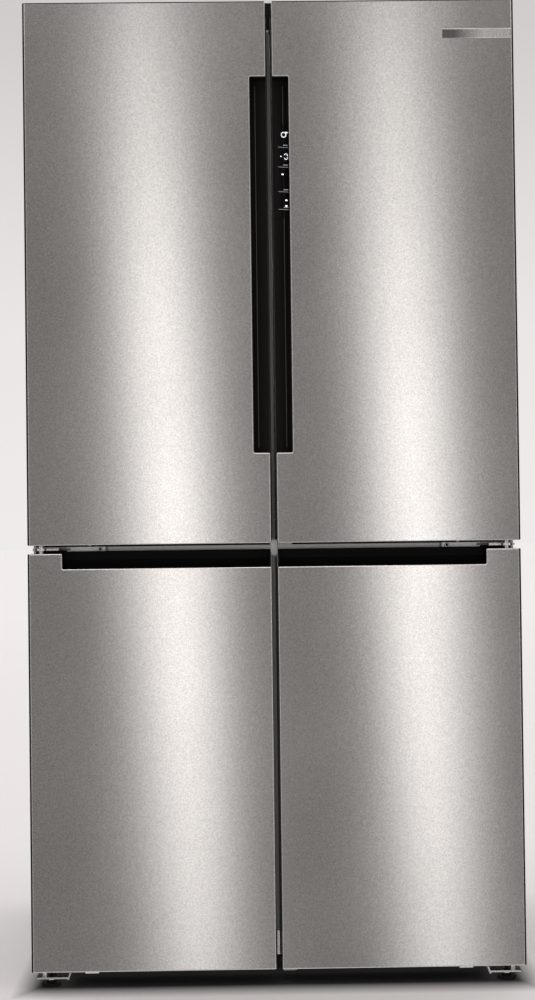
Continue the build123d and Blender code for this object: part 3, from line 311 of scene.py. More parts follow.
# ---- studio ----
def make_world():
    """A pale studio: a soft gradient for the camera, and grey walls with a bright ceiling for light."""
    world = bpy.data.worlds.new("studio")
    bpy.context.scene.world = world
    world.use_nodes = True
    tree = world.node_tree
    tree.nodes.clear()

    def add(kind, inputs=None, **settings):
        """A node with its settings and its input values or links."""
        node = tree.nodes.new(kind)
        for key, value in settings.items():
            setattr(node, key, value)
        for key, value in (inputs or {}).items():
            if isinstance(value, bpy.types.NodeSocket):
                tree.links.new(value, node.inputs[key])
            else:
                node.inputs[key].default_value = value
        return node

    def ramp(value, stops):
        """Warm grey levels at stops along a value."""
        node = add("ShaderNodeValToRGB", {"Fac": value})
        elements = node.color_ramp.elements
        while len(elements) < len(stops):
            elements.new(0.5)
        for element, (place, level) in zip(elements, stops):
            element.position = place
            element.color = (level, level * 0.965, level * 0.96, 1)
        return node.outputs[0]

    def times(first, second):
        """Two colours multiplied."""
        mix = add("ShaderNodeMix", data_type="RGBA", blend_type="MULTIPLY")
        mix.inputs[0].default_value = 1.0
        tree.links.new(first, mix.inputs[6])
        tree.links.new(second, mix.inputs[7])
        return mix.outputs[2]

    direction = add("ShaderNodeTexCoord").outputs["Generated"]
    parts = add("ShaderNodeSeparateXYZ", {0: direction})
    rise = {"Value": parts.outputs[2], "From Min": -1.0, "From Max": 1.0}
    height = add("ShaderNodeMapRange", rise).outputs[0]
    front = add("ShaderNodeMath", {0: parts.outputs[1], 1: -1.0}, operation="MULTIPLY").outputs[0]
    steep = add("ShaderNodeMath", {0: parts.outputs[2]}, operation="ABSOLUTE").outputs[0]
    open_side = add("ShaderNodeMath", {0: front, 1: steep}, operation="MAXIMUM").outputs[0]
    seen = ramp(height, ((0.0, 0.62), (0.5, 0.86), (0.56, 0.82), (0.60, 0.74), (0.645, 0.63), (1.0, 0.55)))
    wall = ramp(height, ((0.0, 0.20), (0.25, 0.18), (0.36, 0.17), (0.5, 0.27), (0.66, 0.13), (0.80, 0.32),
                         (1.0, 0.6)))
    around_front = {"Value": front, "From Min": 0.91, "From Max": 0.82, "To Min": 1.0, "To Max": 4.0}
    ring = add("ShaderNodeMapRange", around_front)
    toward_back = {"Value": open_side, "From Min": 0.3, "From Max": 0.65, "To Min": 0.04}
    dark = add("ShaderNodeMapRange", toward_back)
    glossy = times(times(wall, ring.outputs[0]), dark.outputs[0])
    soft = ramp(height, ((0.0, 0.60), (0.45, 0.45), (0.55, 0.48), (0.75, 0.52), (1.0, 0.60)))
    path = add("ShaderNodeLightPath")
    lit = add("ShaderNodeMix", data_type="RGBA")
    tree.links.new(path.outputs["Is Diffuse Ray"], lit.inputs[0])
    tree.links.new(glossy, lit.inputs[6])
    tree.links.new(soft, lit.inputs[7])
    chosen = add("ShaderNodeMix", data_type="RGBA")
    tree.links.new(path.outputs["Is Camera Ray"], chosen.inputs[0])
    tree.links.new(lit.outputs[2], chosen.inputs[6])
    tree.links.new(seen, chosen.inputs[7])
    back = add("ShaderNodeBackground", {"Color": chosen.outputs[2]})
    out = add("ShaderNodeOutputWorld")
    tree.links.new(back.outputs[0], out.inputs[0])


def area_light(name, place, size, power, turn, glossy=True):
    """A rectangular soft light that the camera doesn't see."""
    data = bpy.data.lights.new(name, "AREA")
    data.shape = "RECTANGLE"
    data.size, data.size_y = size
    data.energy = power
    lamp = bpy.data.objects.new(name, data)
    lamp.location = place
    lamp.rotation_euler = [math.radians(a) for a in turn]
    lamp.visible_camera = False
    lamp.visible_glossy = glossy
    bpy.context.scene.collection.objects.link(lamp)
    return lamp


def soften(lamp, across, along):
    """Fades a strip light with a bell curve across it and a wider one along it."""
    lamp.data.use_nodes = True
    tree = lamp.data.node_tree
    spot = tree.nodes.new("ShaderNodeNewGeometry").outputs["Parametric"]
    parts = tree.nodes.new("ShaderNodeSeparateXYZ")
    tree.links.new(spot, parts.inputs[0])

    def math_node(operation, first, second):
        """The result of a sum on two values or links."""
        node = tree.nodes.new("ShaderNodeMath")
        node.operation = operation
        for socket, value in zip(node.inputs, (first, second)):
            if isinstance(value, bpy.types.NodeSocket):
                tree.links.new(value, socket)
            else:
                socket.default_value = value
        return node.outputs[0]

    def bell(value, width):
        """A bell curve about the middle of the light."""
        offset = math_node("DIVIDE", math_node("SUBTRACT", value, 0.5), width)
        return math_node("POWER", math.exp(-0.5), math_node("MULTIPLY", offset, offset))

    wide = bell(parts.outputs[0], across)
    tall = bell(parts.outputs[1], along)
    tree.links.new(math_node("MULTIPLY", wide, tall), tree.nodes["Emission"].inputs["Strength"])


def make_lights(floor):
    """Two upright strips for the bands on the doors, and soft light from above and in front."""
    for name, x, lean in (("strip_left", -0.333, -3.1), ("strip_right", 0.589, -2.7)):
        strip = area_light(name, (x, -3.5, 0.85), (0.8, 4.4), 21, (90, lean, 0))
        strip.visible_diffuse = False
        soften(strip, 0.13, 0.36)
    fill = area_light("fill", (-0.05, -4.3, 1.0), (1.6, 1.6), 42, (90, 0, 0), glossy=False)
    off_floor = bpy.data.collections.new("kept_off_floor")
    off_floor.objects.link(floor)
    off_floor.collection_objects[0].light_linking.link_state = "EXCLUDE"
    fill.light_linking.receiver_collection = off_floor
    sun = bpy.data.lights.new("overhead", "SUN")
    sun.energy = 2.0
    sun.angle = math.radians(70)
    overhead = bpy.data.objects.new("overhead", sun)
    overhead.rotation_euler = (math.radians(-12), 0, 0)
    overhead.visible_glossy = False
    bpy.context.scene.collection.objects.link(overhead)


def make_floor():
    """A wide pale floor with painted shade: its colour darkens towards the object, and a painted shadow makes
    it near-black under the object.
    """
    mesh = bpy.data.meshes.new("floor")
    bm = bmesh.new()
    bmesh.ops.create_grid(bm, x_segments=1, y_segments=1, size=60)
    bm.to_mesh(mesh)
    bm.free()
    floor = bpy.data.objects.new("floor", mesh)
    bpy.context.scene.collection.objects.link(floor)
    m = Nodes("floor_painted_shadow")
    place = m.add("ShaderNodeTexCoord").outputs["Object"]
    radius = m.add("ShaderNodeVectorMath", {0: place}, operation="LENGTH").outputs["Value"]
    # Painted shade: the floor's colour darkens from far away towards the object, a pool of shade round it.
    far = m.span(radius, 0, 1, 0.5, 12.0)
    dust = m.noise((1, 1, 1), 3.0, 3.0)
    floor_with_painted_shade = m.tint(far, (0.672, 0.650, 0.646), (0.722, 0.700, 0.695))
    apart = m.add("ShaderNodeSeparateXYZ", {0: place})
    # Painted shadow: inside the object's footprint the colour drops to a near-black grey, fading out just
    # past its sides, front and back.
    edges = []
    for axis, half, painted_shade_fade in ((0, HIGH.x, 0.035), (1, -FACE_Y, 0.062)):
        reach = m.add("ShaderNodeMath", {0: apart.outputs[axis]}, operation="ABSOLUTE").outputs[0]
        edges.append(m.span(reach, 0, 1, half - 0.012, half + painted_shade_fade))
    painted_shadow_mask = m.add("ShaderNodeMath", {0: edges[0], 1: edges[1]}, operation="MAXIMUM").outputs[0]
    # Mixes the painted shadow's near-black grey over the floor with painted shade.
    shaded = m.add("ShaderNodeMix", data_type="RGBA")
    m.feed(shaded.inputs[0], painted_shadow_mask)
    m.feed(shaded.inputs[6], (0.020, 0.019, 0.019, 1))
    m.feed(shaded.inputs[7], floor_with_painted_shade)
    m.set(Base_Color=shaded.outputs[2], Roughness=m.span(dust, 0.75, 0.85))
    mesh.materials.append(m.material)
    floor.visible_glossy = False
    floor.visible_shadow = False
    return floor


# ---- building pieces ----
def islands(name):
    """The boxes of a node's separate solids, as (low, high) corners, lowest first."""
    bm = bmesh.new()
    bm.from_mesh(nodes[name].data)
    bmesh.ops.remove_doubles(bm, verts=bm.verts, dist=1e-5)
    boxes = []
    left = set(bm.verts)
    while left:
        found = []
        queue = [left.pop()]
        while queue:
            vert = queue.pop()
            found.append(vert.co)
            for edge in vert.link_edges:
                other = edge.other_vert(vert)
                if other in left:
                    left.remove(other)
                    queue.append(other)
        low = Vector([min(co[i] for co in found) for i in range(3)])
        high = Vector([max(co[i] for co in found) for i in range(3)])
        boxes.append((low, high))
    bm.free()
    return sorted(boxes, key=lambda box: (round(box[0].z, 4), box[0].x))


def span(side, near, far):
    """Two distances from the middle as x values in rising order, on the left or the right."""
    return sorted((side * near, side * far))


class Shape:
    """A mesh piece that is built up from bevelled bars, rods and bands."""

    def __init__(self):
        self.bm = bmesh.new()

    def round_edges(self, verts, bevel, segments):
        """Bevels the sharp edges between new vertices."""
        around = dict.fromkeys(edge for vert in verts for edge in vert.link_edges)
        edges = [edge for edge in around if edge.calc_face_angle(0) > BEVELLED_TURN]
        bmesh.ops.bevel(self.bm, geom=edges, offset=bevel, segments=segments, affect="EDGES", profile=0.5)

    def bar(self, low, high, bevel, segments=2):
        """A box between two corners with rounded edges."""
        low, high = Vector(low), Vector(high)
        size = Matrix.Diagonal((*(high - low), 1))
        place = Matrix.Translation((low + high) / 2) @ size
        new = bmesh.ops.create_cube(self.bm, size=1, matrix=place)["verts"]
        self.round_edges(new, bevel, segments)

    def frame(self, low, high, wide, bevel):
        """A flat rectangular frame that faces along Y, its four bars `wide` across."""
        low, high = Vector(low), Vector(high)
        self.bar(low, (high.x, high.y, low.z + wide), bevel)
        self.bar((low.x, low.y, high.z - wide), high, bevel)
        for x0, x1 in ((low.x, low.x + wide), (high.x - wide, high.x)):
            self.bar((x0, low.y, low.z + wide), (x1, high.y, high.z - wide), bevel)

    def rod(self, start, end, radius, bevel, tip=None):
        """A round bar between two points, tapered when a tip radius is given."""
        start, end = Vector(start), Vector(end)
        along = end - start
        turn = Vector((0, 0, 1)).rotation_difference(along).to_matrix().to_4x4()
        place = Matrix.Translation((start + end) / 2) @ turn
        new = bmesh.ops.create_cone(self.bm, cap_ends=True, segments=28, radius1=radius,
                                    radius2=radius if tip is None else tip, depth=along.length,
                                    matrix=place)["verts"]
        if bevel:
            self.round_edges(new, bevel, 2)

    def band(self, points, bottom, top, thick):
        """An upright wall along level points, thickened to the left of its direction of travel."""
        points = [Vector((x, y, 0)) for x, y in points]
        rails = []
        for i, point in enumerate(points):
            before = points[max(i - 1, 0)]
            after = points[min(i + 1, len(points) - 1)]
            along = (after - before).normalized()
            side = Vector((-along.y, along.x, 0)) * thick
            corners = ((point, bottom), (point + side, bottom), (point + side, top), (point, top))
            rails.append([self.bm.verts.new((c.x, c.y, z)) for c, z in corners])
        for first, second in zip(rails, rails[1:]):
            for i in range(4):
                j = (i + 1) % 4
                self.bm.faces.new((first[i], first[j], second[j], second[i]))
        self.bm.faces.new(rails[0][::-1])
        self.bm.faces.new(rails[-1])

    def outline(self, points, normal, depth):
        """A flat plate from points on a plane, thickened against its normal."""
        front = [self.bm.verts.new(p) for p in points]
        back = [self.bm.verts.new(Vector(p) - normal * depth) for p in points]
        self.bm.faces.new(front)
        self.bm.faces.new(back[::-1])
        for i in range(len(front)):
            j = (i + 1) % len(front)
            self.bm.faces.new((front[j], front[i], back[i], back[j]))

    def piece(self, name, body, slot):
        """Turns the shape into an object that rides on a body."""
        bmesh.ops.recalc_face_normals(self.bm, faces=self.bm.faces)
        mesh = bpy.data.meshes.new(name)
        self.bm.to_mesh(mesh)
        self.bm.free()
        for face in mesh.polygons:
            face.use_smooth = True
        mesh.set_sharp_from_angle(angle=SHARP_EDGE)
        piece = bpy.data.objects.new(name, mesh)
        bpy.context.scene.collection.objects.link(piece)
        mesh.materials.append(materials[slot])
        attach(piece, body)


def pipe(name, body, slot, points, radius):
    """A bent tube through a few points."""
    curve = bpy.data.curves.new(name, "CURVE")
    curve.dimensions = "3D"
    curve.bevel_depth = radius
    curve.bevel_resolution = 4
    curve.use_fill_caps = True
    spline = curve.splines.new("NURBS")
    spline.points.add(len(points) - 1)
    for point, place in zip(spline.points, points):
        point.co = (*place, 1)
    spline.order_u = 3
    spline.use_endpoint_u = True
    tube = bpy.data.objects.new(name, curve)
    bpy.context.scene.collection.objects.link(tube)
    curve.materials.append(materials[slot])
    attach(tube, body)


def arc(centre, radius, start, end):
    """Points along an arc between two angles in degrees."""
    steps = 8
    angles = [math.radians(start + (end - start) * i / steps) for i in range(steps + 1)]
    return [(centre[0] + radius * math.cos(a), centre[1] + radius * math.sin(a)) for a in angles]


# ---- touch panel ----
PRINT = 0.2 * MM


def panel_icons():
    """Plain white marks on the touch panel: two level settings, two bars and dots, between thin lines."""
    mesh = nodes["display_panel"].data
    face = max((f for f in mesh.polygons if f.normal.y < 0), key=lambda f: f.area * (-f.normal.y))
    low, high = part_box("display_panel")
    normal = face.normal.copy()
    across = Vector((0, 0, 1)).cross(normal).normalized()
    plane = face.center.dot(normal)

    def spot(u, v):
        """A point on the panel's face: u across in millimetres, v up from its lower end."""
        base = low + across * (u * MM) + Vector((0, 0, v * MM))
        return base + normal * (plane - base.dot(normal) + 0.25 * MM)

    def stroke(shape, u, v, thick=PRINT, lift=PRINT):
        """A rectangle between two values of u and two of v."""
        corners = [spot(u[0], v[0]), spot(u[1], v[0]), spot(u[1], v[1]), spot(u[0], v[1])]
        shape.outline([corner + normal * lift for corner in corners], normal, thick)

    def ring(shape, u, v, outer, inner, start=0, end=360):
        """A ring, or a part of one between two angles, in short steps."""
        steps = 24
        for i in range(steps):
            a, b = (math.radians(start + (end - start) * k / steps) for k in (i, i + 1))
            quad = [spot(u + r * math.cos(t), v + r * math.sin(t)) for r, t in
                    ((inner, a), (outer, a), (outer, b), (inner, b))]
            shape.outline(quad, normal, PRINT)

    bright = Shape()
    dim = Shape()
    tall = (high.z - low.z) / MM
    ring(bright, 17.0, tall - 18.5, 5.4, 3.6)
    stroke(bright, (20.0, 24.6), (tall - 15.0, tall - 13.2))
    stroke(bright, (10.2, 12.4), (tall - 59.8, tall - 58.4))
    ring(bright, 21.2, tall - 61.6, 3.4, 2.0, 180, 400)
    ring(bright, 21.2, tall - 56.4, 3.4, 2.0, -40, 180)
    for u, v in ((12.2, 92.5), (19.0, 140.5), (19.0, 151)):
        stroke(bright, (u, u + 3.8), (tall - v - 1.1, tall - v + 1.1))
    for v in (42, 79, 125, 158):
        stroke(dim, (6, 25.0), (tall - v - 0.35, tall - v + 0.35))
        stroke(dim, (16, 24.5), (tall - v + 3.4, tall - v + 4.8))
    glass = Shape()
    stroke(glass, (-0.4, 25.8), (-1.0, tall + 1.0), thick=0.8 * MM, lift=0)
    glass.piece("panel_glass", "right_door", "display_black")
    bright.piece("panel_marks", "right_door", "icon_white")
    dim.piece("panel_lines", "right_door", "icon_grey")


def grip_lines():
    """A fine upright rib along the floor of each grip."""
    for body, side in zip(UPPER_DOORS, (-1, 1)):
        low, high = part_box(body + "_grip")
        rib = Shape()
        x0, x1 = span(side, 25.4 * MM, 26.6 * MM)
        rib.bar((x0, FACE_Y + 29.3 * MM, low.z + 14 * MM), (x1, FACE_Y + 31 * MM, high.z - 14 * MM), 0.3 * MM)
        rib.piece(body + "_grip_line", body, "seal_grey")


def trim_edge():
    """The polished upper edge of the trim bar."""
    low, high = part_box("trim_bar")
    edge = Shape()
    edge.bar((low.x, low.y + 0.02 * MM, high.z - 0.7 * MM), (high.x, high.y, high.z + 1.3 * MM), 0.9 * MM, 3)
    edge.piece("trim_edge", "right_door", "hinge_steel")


# ---- doors ----
def door_edges():
    """Dark strips along the doors' outer sides and the upper doors' tops, each with a fine steel bead: the
    side strips are a dark side trim that also stands for painted shade along the outer edges, and the top
    strips are painted shade over the upper doors' top edges.
    """
    for body in DOORS:
        side = -1 if body.startswith("left") else 1
        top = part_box(body + "_skin")[1].z
        bottom = 810 * MM if body in UPPER_DOORS else 31 * MM
        strip = Shape()
        # A dark side trim, and painted shade along the door's outer edge.
        x0, x1 = span(side, HIGH.x - 3.2 * MM, HIGH.x - 0.05 * MM)
        strip.bar((x0, FACE_Y - 0.1 * MM, bottom), (x1, FACE_Y + 45 * MM, top - 0.3 * MM), 0.5 * MM)
        if body in UPPER_DOORS:
            # Painted shade: a black strip over the top edge in place of its highlight.
            x0, x1 = span(side, 7 * MM, HIGH.x - 1 * MM)
            y0, y1 = FACE_Y - 0.05 * MM, FACE_Y + 7 * MM
            strip.bar((x0, y0, top - 2.2 * MM), (x1, y1, top + 0.1 * MM), 0.5 * MM)
        strip.piece(body + "_edge", body, "black_plastic")
        bead = Shape()
        x0, x1 = span(side, HIGH.x - 4.6 * MM, HIGH.x - 3.1 * MM)
        bead.bar((x0, FACE_Y - 0.15 * MM, bottom), (x1, FACE_Y + 1 * MM, top - 0.4 * MM), 0.35 * MM, 3)
        bead.piece(body + "_bead", body, "stainless")


def stop_pads():
    """Pale pads on the stop tabs under the freezer doors."""
    for body, side in zip(LOWER_DOORS, (-1, 1)):
        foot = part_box(body + "_skin")[0].z
        x0, x1 = span(side, HIGH.x - 122 * MM, HIGH.x - 97 * MM)
        pad = Shape()
        pad.bar((x0, FACE_Y + 7.5 * MM, foot + 0.1 * MM), (x1, FACE_Y + 10 * MM, foot + 4.1 * MM), 0.4 * MM)
        pad.piece(body + "_pad", body, "light_grey_plastic")


def seal_lips():
    """Dark lips behind the doors' meeting edges."""
    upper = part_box("right_door_gasket")
    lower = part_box("right_freezer_door_gasket")
    y0, y1 = upper[0].y + 0.1 * MM, upper[0].y + 2.9 * MM
    reach = upper[0].x - 0.3 * MM
    for body, side, near, (low, high) in (("left_door", -1, 2.6, upper), ("right_door", 1, 3.8, upper),
                                          ("right_freezer_door", 1, 2.0, lower)):
        x0, x1 = span(side, near * MM, reach)
        lip = Shape()
        lip.bar((x0, y0, low.z), (x1, y1, high.z), 0.6 * MM)
        lip.piece(body + "_lip", body, "seal_grey")


def mullion_details():
    """The mullion's narrow wing, and the black plates above and below it on the cabinet's front."""
    low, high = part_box("mullion")
    face, top, bottom = low.y, high.z, low.z
    wing = Shape()
    x0, x1 = high.x - 1.2 * MM, high.x + 1.8 * MM
    wing.bar((x0, face, bottom + 2 * MM), (x1, face + 1.6 * MM, top - 2 * MM), 0.25 * MM)
    wing.bar((-15 * MM, face - 0.5 * MM, bottom + 8 * MM), (-13 * MM, face, top - 8 * MM), 0.2 * MM)
    y0, y1 = face - 1.8 * MM, face - 1.2 * MM
    wing.bar((-2.8 * MM, y0, top - 3 * MM), (2.2 * MM, y1, top + 6 * MM), 0.15 * MM)
    wing.piece("mullion_wing", "mullion", "mullion_grey")
    tip = Shape()
    tip.bar((-2.2 * MM, face - 2.2 * MM, top + 6 * MM), (1.8 * MM, y1, top + 10 * MM), 0.4 * MM)
    tip.piece("mullion_tip", "mullion", "light_grey_plastic")
    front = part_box("cabinet_shell")[0].y
    above_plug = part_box("center_plug")[1].z + 0.3 * MM
    half = 14 * MM
    y0, y1 = front - 0.7 * MM, front + 0.1 * MM
    plates = Shape()
    plates.bar((-half, y0, top + 1 * MM), (half, y1, HIGH.z - 2 * MM), 0.3 * MM)
    plates.bar((-half, y0, above_plug), (half, y1, bottom - 0.2 * MM), 0.1 * MM)
    plates.piece("mullion_guides", "root", "black_plastic")
    foot = Shape()
    y0, y1 = front - 1 * MM, front - 0.6 * MM
    foot.bar((-3 * MM, y0, above_plug), (3 * MM, y1, bottom - 0.4 * MM), 0.15 * MM)
    foot.piece("mullion_base", "root", "mullion_grey")


def crossbar_strip():
    """The satin strip on the crossbar, seen between the upper and lower doors."""
    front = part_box("front_frame")[0].y
    plug_low, plug_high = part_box("center_plug")
    strip = Shape()
    for side in (-1, 1):
        x0, x1 = span(side, plug_high.x + 0.5 * MM, 312 * MM)
        strip.bar((x0, front - 0.8 * MM, plug_low.z - 1 * MM), (x1, front, PLATES_TOP - 0.1 * MM), 0.3 * MM)
    strip.piece("crossbar_strip", "root", "bar_grey")


def hinge_covers():
    """Painted shade on the crossbar and the middle hinges' roots: black lips for the shadow under the upper
    doors, black plates in the shade below the hinge arms, darker steel fillers in the shade above the arms,
    pale plates whose colour is partly a painted highlight, and a black disc for each plate's screw hole.
    """
    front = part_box("front_frame")[0].y
    face = front - 2.9 * MM
    foot = 786 * MM
    hole_z = 800.6 * MM
    hole_y = face - 2.3 * MM
    black = Shape()
    bright = Shape()
    painted_shade_fillers = Shape()
    for side in (-1, 1):
        # Painted shadow: a black lip along the crossbar under the upper doors.
        x0, x1 = span(side, 8 * MM, 446 * MM)
        black.bar((x0, face - 1.2 * MM, PLATES_TOP + 0.1 * MM), (x1, front, PLATES_TOP + 3.7 * MM), 0.3 * MM)
        x0, x1 = span(side, 388 * MM, 445.8 * MM)
        # Painted shade: a black plate below the hinge arm.
        black.bar((x0, face - 0.9 * MM, foot), (x1, face, 799.3 * MM), 0.2 * MM)
        # Painted shade: a darker steel filler above the hinge arm.
        painted_shade_fillers.bar((x0, face - 0.7 * MM, PLATES_TOP - 1.9 * MM), (x1, face, PLATES_TOP), 0.2 * MM)
        x0, x1 = span(side, 317 * MM, 387.5 * MM)
        # Pale steel plate: its bright colour is partly a painted highlight.
        bright.bar((x0, face - 0.7 * MM, foot), (x1, face, PLATES_TOP), 0.25 * MM)
        # Painted shade: a black disc stands for the screw hole.
        hole_x = side * 325.5 * MM
        black.rod((hole_x, hole_y - 0.9 * MM, hole_z), (hole_x, hole_y, hole_z), 2.4 * MM, 0)
    black.piece("crossbar_painted_shadow", "root", "black_plastic")
    painted_shade_fillers.piece("hinge_painted_shade", "root", "bar_grey")
    bright.piece("hinge_plates", "root", "plate_pale")


def gasket_ridges():
    """Bellows ridges round each door's seal."""
    for body in DOORS:
        low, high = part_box(body + "_gasket")
        ridges = Shape()
        for start in (2.0, 4.5, 7.0):
            y0 = low.y + start * MM
            outer_low = (low.x - 0.7 * MM, y0, low.z - 0.7 * MM)
            outer_high = (high.x + 0.7 * MM, y0 + 1.2 * MM, high.z + 0.7 * MM)
            ridges.frame(outer_low, outer_high, 11.4 * MM, 0.4 * MM)
        ridges.piece(body + "_seal_ridges", body, "seal_grey")


def bin_trims():
    """A satin band round the rim of each door bin, and a rib round its foot."""
    for body in UPPER_DOORS:
        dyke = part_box(body + "_core")[1].y + 1.5 * MM
        bands = Shape()
        feet = Shape()
        for low, high in islands(body + "_bins"):
            corner = 14 * MM
            path = [(low.x, dyke)]
            path += arc((low.x + corner, high.y - corner), corner, 180, 90)
            path += arc((high.x - corner, high.y - corner), corner, 90, 0)
            path.append((high.x, dyke))
            bands.band(path, high.z - 15 * MM, high.z + 0.6 * MM, 1.4 * MM)
            feet.band(path, low.z + 3 * MM, low.z + 8 * MM, 0.9 * MM)
        bands.piece(body + "_bin_bands", body, "satin_silver")
        feet.piece(body + "_bin_feet", body, "white_plastic")


def liner_beads():
    """Raised beads across the inner panel of each door."""
    count = 5
    for body in DOORS:
        side = -1 if body.startswith("left") else 1
        low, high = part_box(body + "_gasket")
        x0, x1 = span(side, 84 * MM, 356 * MM)
        beads = Shape()
        for i in range(count):
            z = low.z + (high.z - low.z) * (i + 1) / (count + 1)
            beads.bar((x0, low.y - 0.6 * MM, z - 7 * MM), (x1, low.y + 1.0 * MM, z + 7 * MM), 0.9 * MM, 3)
        beads.piece(body + "_beads", body, "door_liner")


# ---- drawers ----
def drawer_trims():
    """A top rail, a rim round the pull, foot ribs and side runners on every drawer."""
    drawers = {}
    for side in ("left", "right"):
        drawers[side + "_crisper"] = "satin_silver"
    for side in ("left", "right"):
        for level in ("bottom", "middle", "top"):
            drawers[f"{side}_freezer_drawer_{level}"] = "white_plastic"
    for body, finish in drawers.items():
        low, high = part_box(body)
        mid = (low.x + high.x) / 2
        rail = Shape()
        corner = (low.x + 3 * MM, low.y - 3 * MM, high.z - 6.5 * MM)
        rail.bar(corner, (high.x - 3 * MM, low.y + 13 * MM, high.z + 2 * MM), 1.6 * MM, 3)
        corner = (mid - 94 * MM, low.y - 2 * MM, high.z - 38 * MM)
        rail.frame(corner, (mid + 94 * MM, low.y + 0.5 * MM, high.z - 6 * MM), 4 * MM, 1.0 * MM)
        rail.piece(body + "_rail", body, finish)
        ribs = Shape()
        for i in range(3):
            z = low.z + (14 + 9 * i) * MM
            x0, x1 = low.x + 16 * MM, high.x - 16 * MM
            ribs.bar((x0, low.y - 1.2 * MM, z), (x1, low.y + 0.5 * MM, z + 3.5 * MM), 0.6 * MM)
        y0, y1 = low.y + 14 * MM, high.y - 12 * MM
        for x0, x1 in ((low.x - 1.2 * MM, low.x + 1 * MM), (high.x - 1 * MM, high.x + 1.2 * MM)):
            ribs.bar((x0, y0, high.z - 9 * MM), (x1, y1, high.z - 3 * MM), 0.5 * MM)
        ribs.piece(body + "_ribs", body, "clear_plastic")


# ---- compartments ----
def shelf_fittings():
    """Front and rear rails on the glass shelves."""
    silver = Shape()
    white = Shape()
    for low, high in islands("glass_shelves"):
        x0, x1 = low.x + 3 * MM, high.x - 3 * MM
        edge = low.y + 0.5 * MM
        silver.bar((x0, low.y - 3 * MM, low.z - 2 * MM), (x1, edge, high.z + 3 * MM), 1.2 * MM, 3)
        white.bar((x0, low.y, low.z - 3 * MM), (x1, low.y + 13 * MM, low.z), 0.8 * MM)
        white.bar((x0, edge, high.z), (x1, low.y + 8 * MM, high.z + 1.2 * MM), 0.5 * MM)
        white.bar((x0, high.y - 12 * MM, high.z), (x1, high.y, high.z + 10 * MM), 2 * MM, 3)
    silver.piece("shelf_rails", "root", "satin_silver")
    white.piece("shelf_frames", "root", "white_plastic")


def lamps():
    """Upright lamp strips on the side walls, and small lamps in the ceilings."""
    lowest_pane = islands("glass_shelves")[0][1]
    liner_low, liner_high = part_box("fridge_liner")
    wall = lowest_pane.x + 1.5 * MM
    ceiling = liner_high.z - 2.8 * MM
    front = liner_low.y
    z0, z1 = lowest_pane.z + 90 * MM, ceiling - 90 * MM
    glowing = Shape()
    rims = Shape()

    def lens(x0, x1, y0, y1, roof, margin, depth):
        """A lamp in a ceiling, with a rim that reaches past it on every side."""
        glowing.bar((x0, y0, roof - 1.4 * MM), (x1, y1, roof + OVERLAP), 0.5 * MM)
        low = (x0 - margin, y0 - depth, roof - 0.9 * MM)
        rims.bar(low, (x1 + margin, y1 + depth, roof + OVERLAP), 0.5 * MM)

    for side in (-1, 1):
        x0, x1 = span(side, wall - 1.2 * MM, wall + OVERLAP)
        glowing.bar((x0, front + 52 * MM, z0), (x1, front + 66 * MM, z1), 0.4 * MM)
        x0, x1 = span(side, wall - 0.8 * MM, wall + OVERLAP)
        rims.bar((x0, front + 46 * MM, z0 - 8 * MM), (x1, front + 72 * MM, z1 + 8 * MM), 0.4 * MM)
        x0, x1 = span(side, 130 * MM, 250 * MM)
        lens(x0, x1, front + 100 * MM, front + 150 * MM, ceiling, 10 * MM, 10 * MM)
    for low, high in islands("freezer_liners"):
        mid = (low.x + high.x) / 2
        lens(mid - 50 * MM, mid + 50 * MM, front + 35 * MM, front + 50 * MM, high.z - 2 * MM, 10 * MM, 7 * MM)
    glowing.piece("lamp_lenses", "root", "lamp_white")
    rims.piece("lamp_rims", "root", "white_plastic")


def duct_details():
    """Frames round the refrigerator duct's outlets, hoods over the freezer outlets, and sensor caps."""
    face = 286 * MM
    inside = face + OVERLAP
    slats = 8
    trims = Shape()
    for row in range(3):
        z = (1190 + row * 240) * MM
        for side in (-1, 1):
            x0, x1 = span(side, 36 * MM, 124 * MM)
            trims.frame((x0, face - 1.6 * MM, z - 4 * MM), (x1, inside, z + 16 * MM), 3.4 * MM, 0.6 * MM)
            for i in range(1, slats):
                x = x0 + (x1 - x0) * i / slats
                trims.bar((x - 0.8 * MM, face - 0.8 * MM, z), (x + 0.8 * MM, inside, z + 12 * MM), 0.3 * MM)
    for side in (-1, 1):
        x = side * 132 * MM
        trims.bar((x - 1 * MM, face - 0.8 * MM, 1090 * MM), (x + 1 * MM, inside, 1740 * MM), 0.4 * MM)
    trims.piece("duct_frames", "root", "white_plastic")
    hoods = Shape()
    panel = 238 * MM
    for side in (-1, 1):
        for row in range(5):
            z = (369 + row * 78) * MM
            for column in range(3):
                x0, x1 = span(side, (60 + column * 112) * MM, (156 + column * 112) * MM)
                hoods.bar((x0, panel - 3 * MM, z), (x1, panel + OVERLAP, z + 3.5 * MM), 1.0 * MM, 3)
    hoods.piece("freezer_hoods", "root", "white_plastic")
    wall = 406 * MM
    caps = Shape()
    for side in (-1, 1):
        for y, z, radius in ((-20 * MM, 1420 * MM, 11 * MM), (-20 * MM, 1170 * MM, 8 * MM),
                             (20 * MM, 930 * MM, 8 * MM)):
            outer, inner = side * (wall + OVERLAP), side * (wall - 3.5 * MM)
            caps.rod((inner, y, z), (outer, y, z), radius, 1.0 * MM)
            outer, inner = side * (wall - 3.2 * MM), side * (wall - 4.4 * MM)
            caps.rod((inner, y, z), (outer, y, z), radius * 0.55, 0.4 * MM)
    caps.piece("sensor_caps", "root", "white_plastic")


# ---- outside of the cabinet ----
def screws(shape, places, head=4.2 * MM):
    """Round screw heads with a raised washer, standing out toward the back."""
    for x, y, z in places:
        shape.rod((x, y - OVERLAP, z), (x, y + 0.6 * MM, z), head * 1.5, 0.25 * MM)
        shape.rod((x, y, z), (x, y + 1.8 * MM, z), head, 0.7 * MM, tip=head * 0.86)


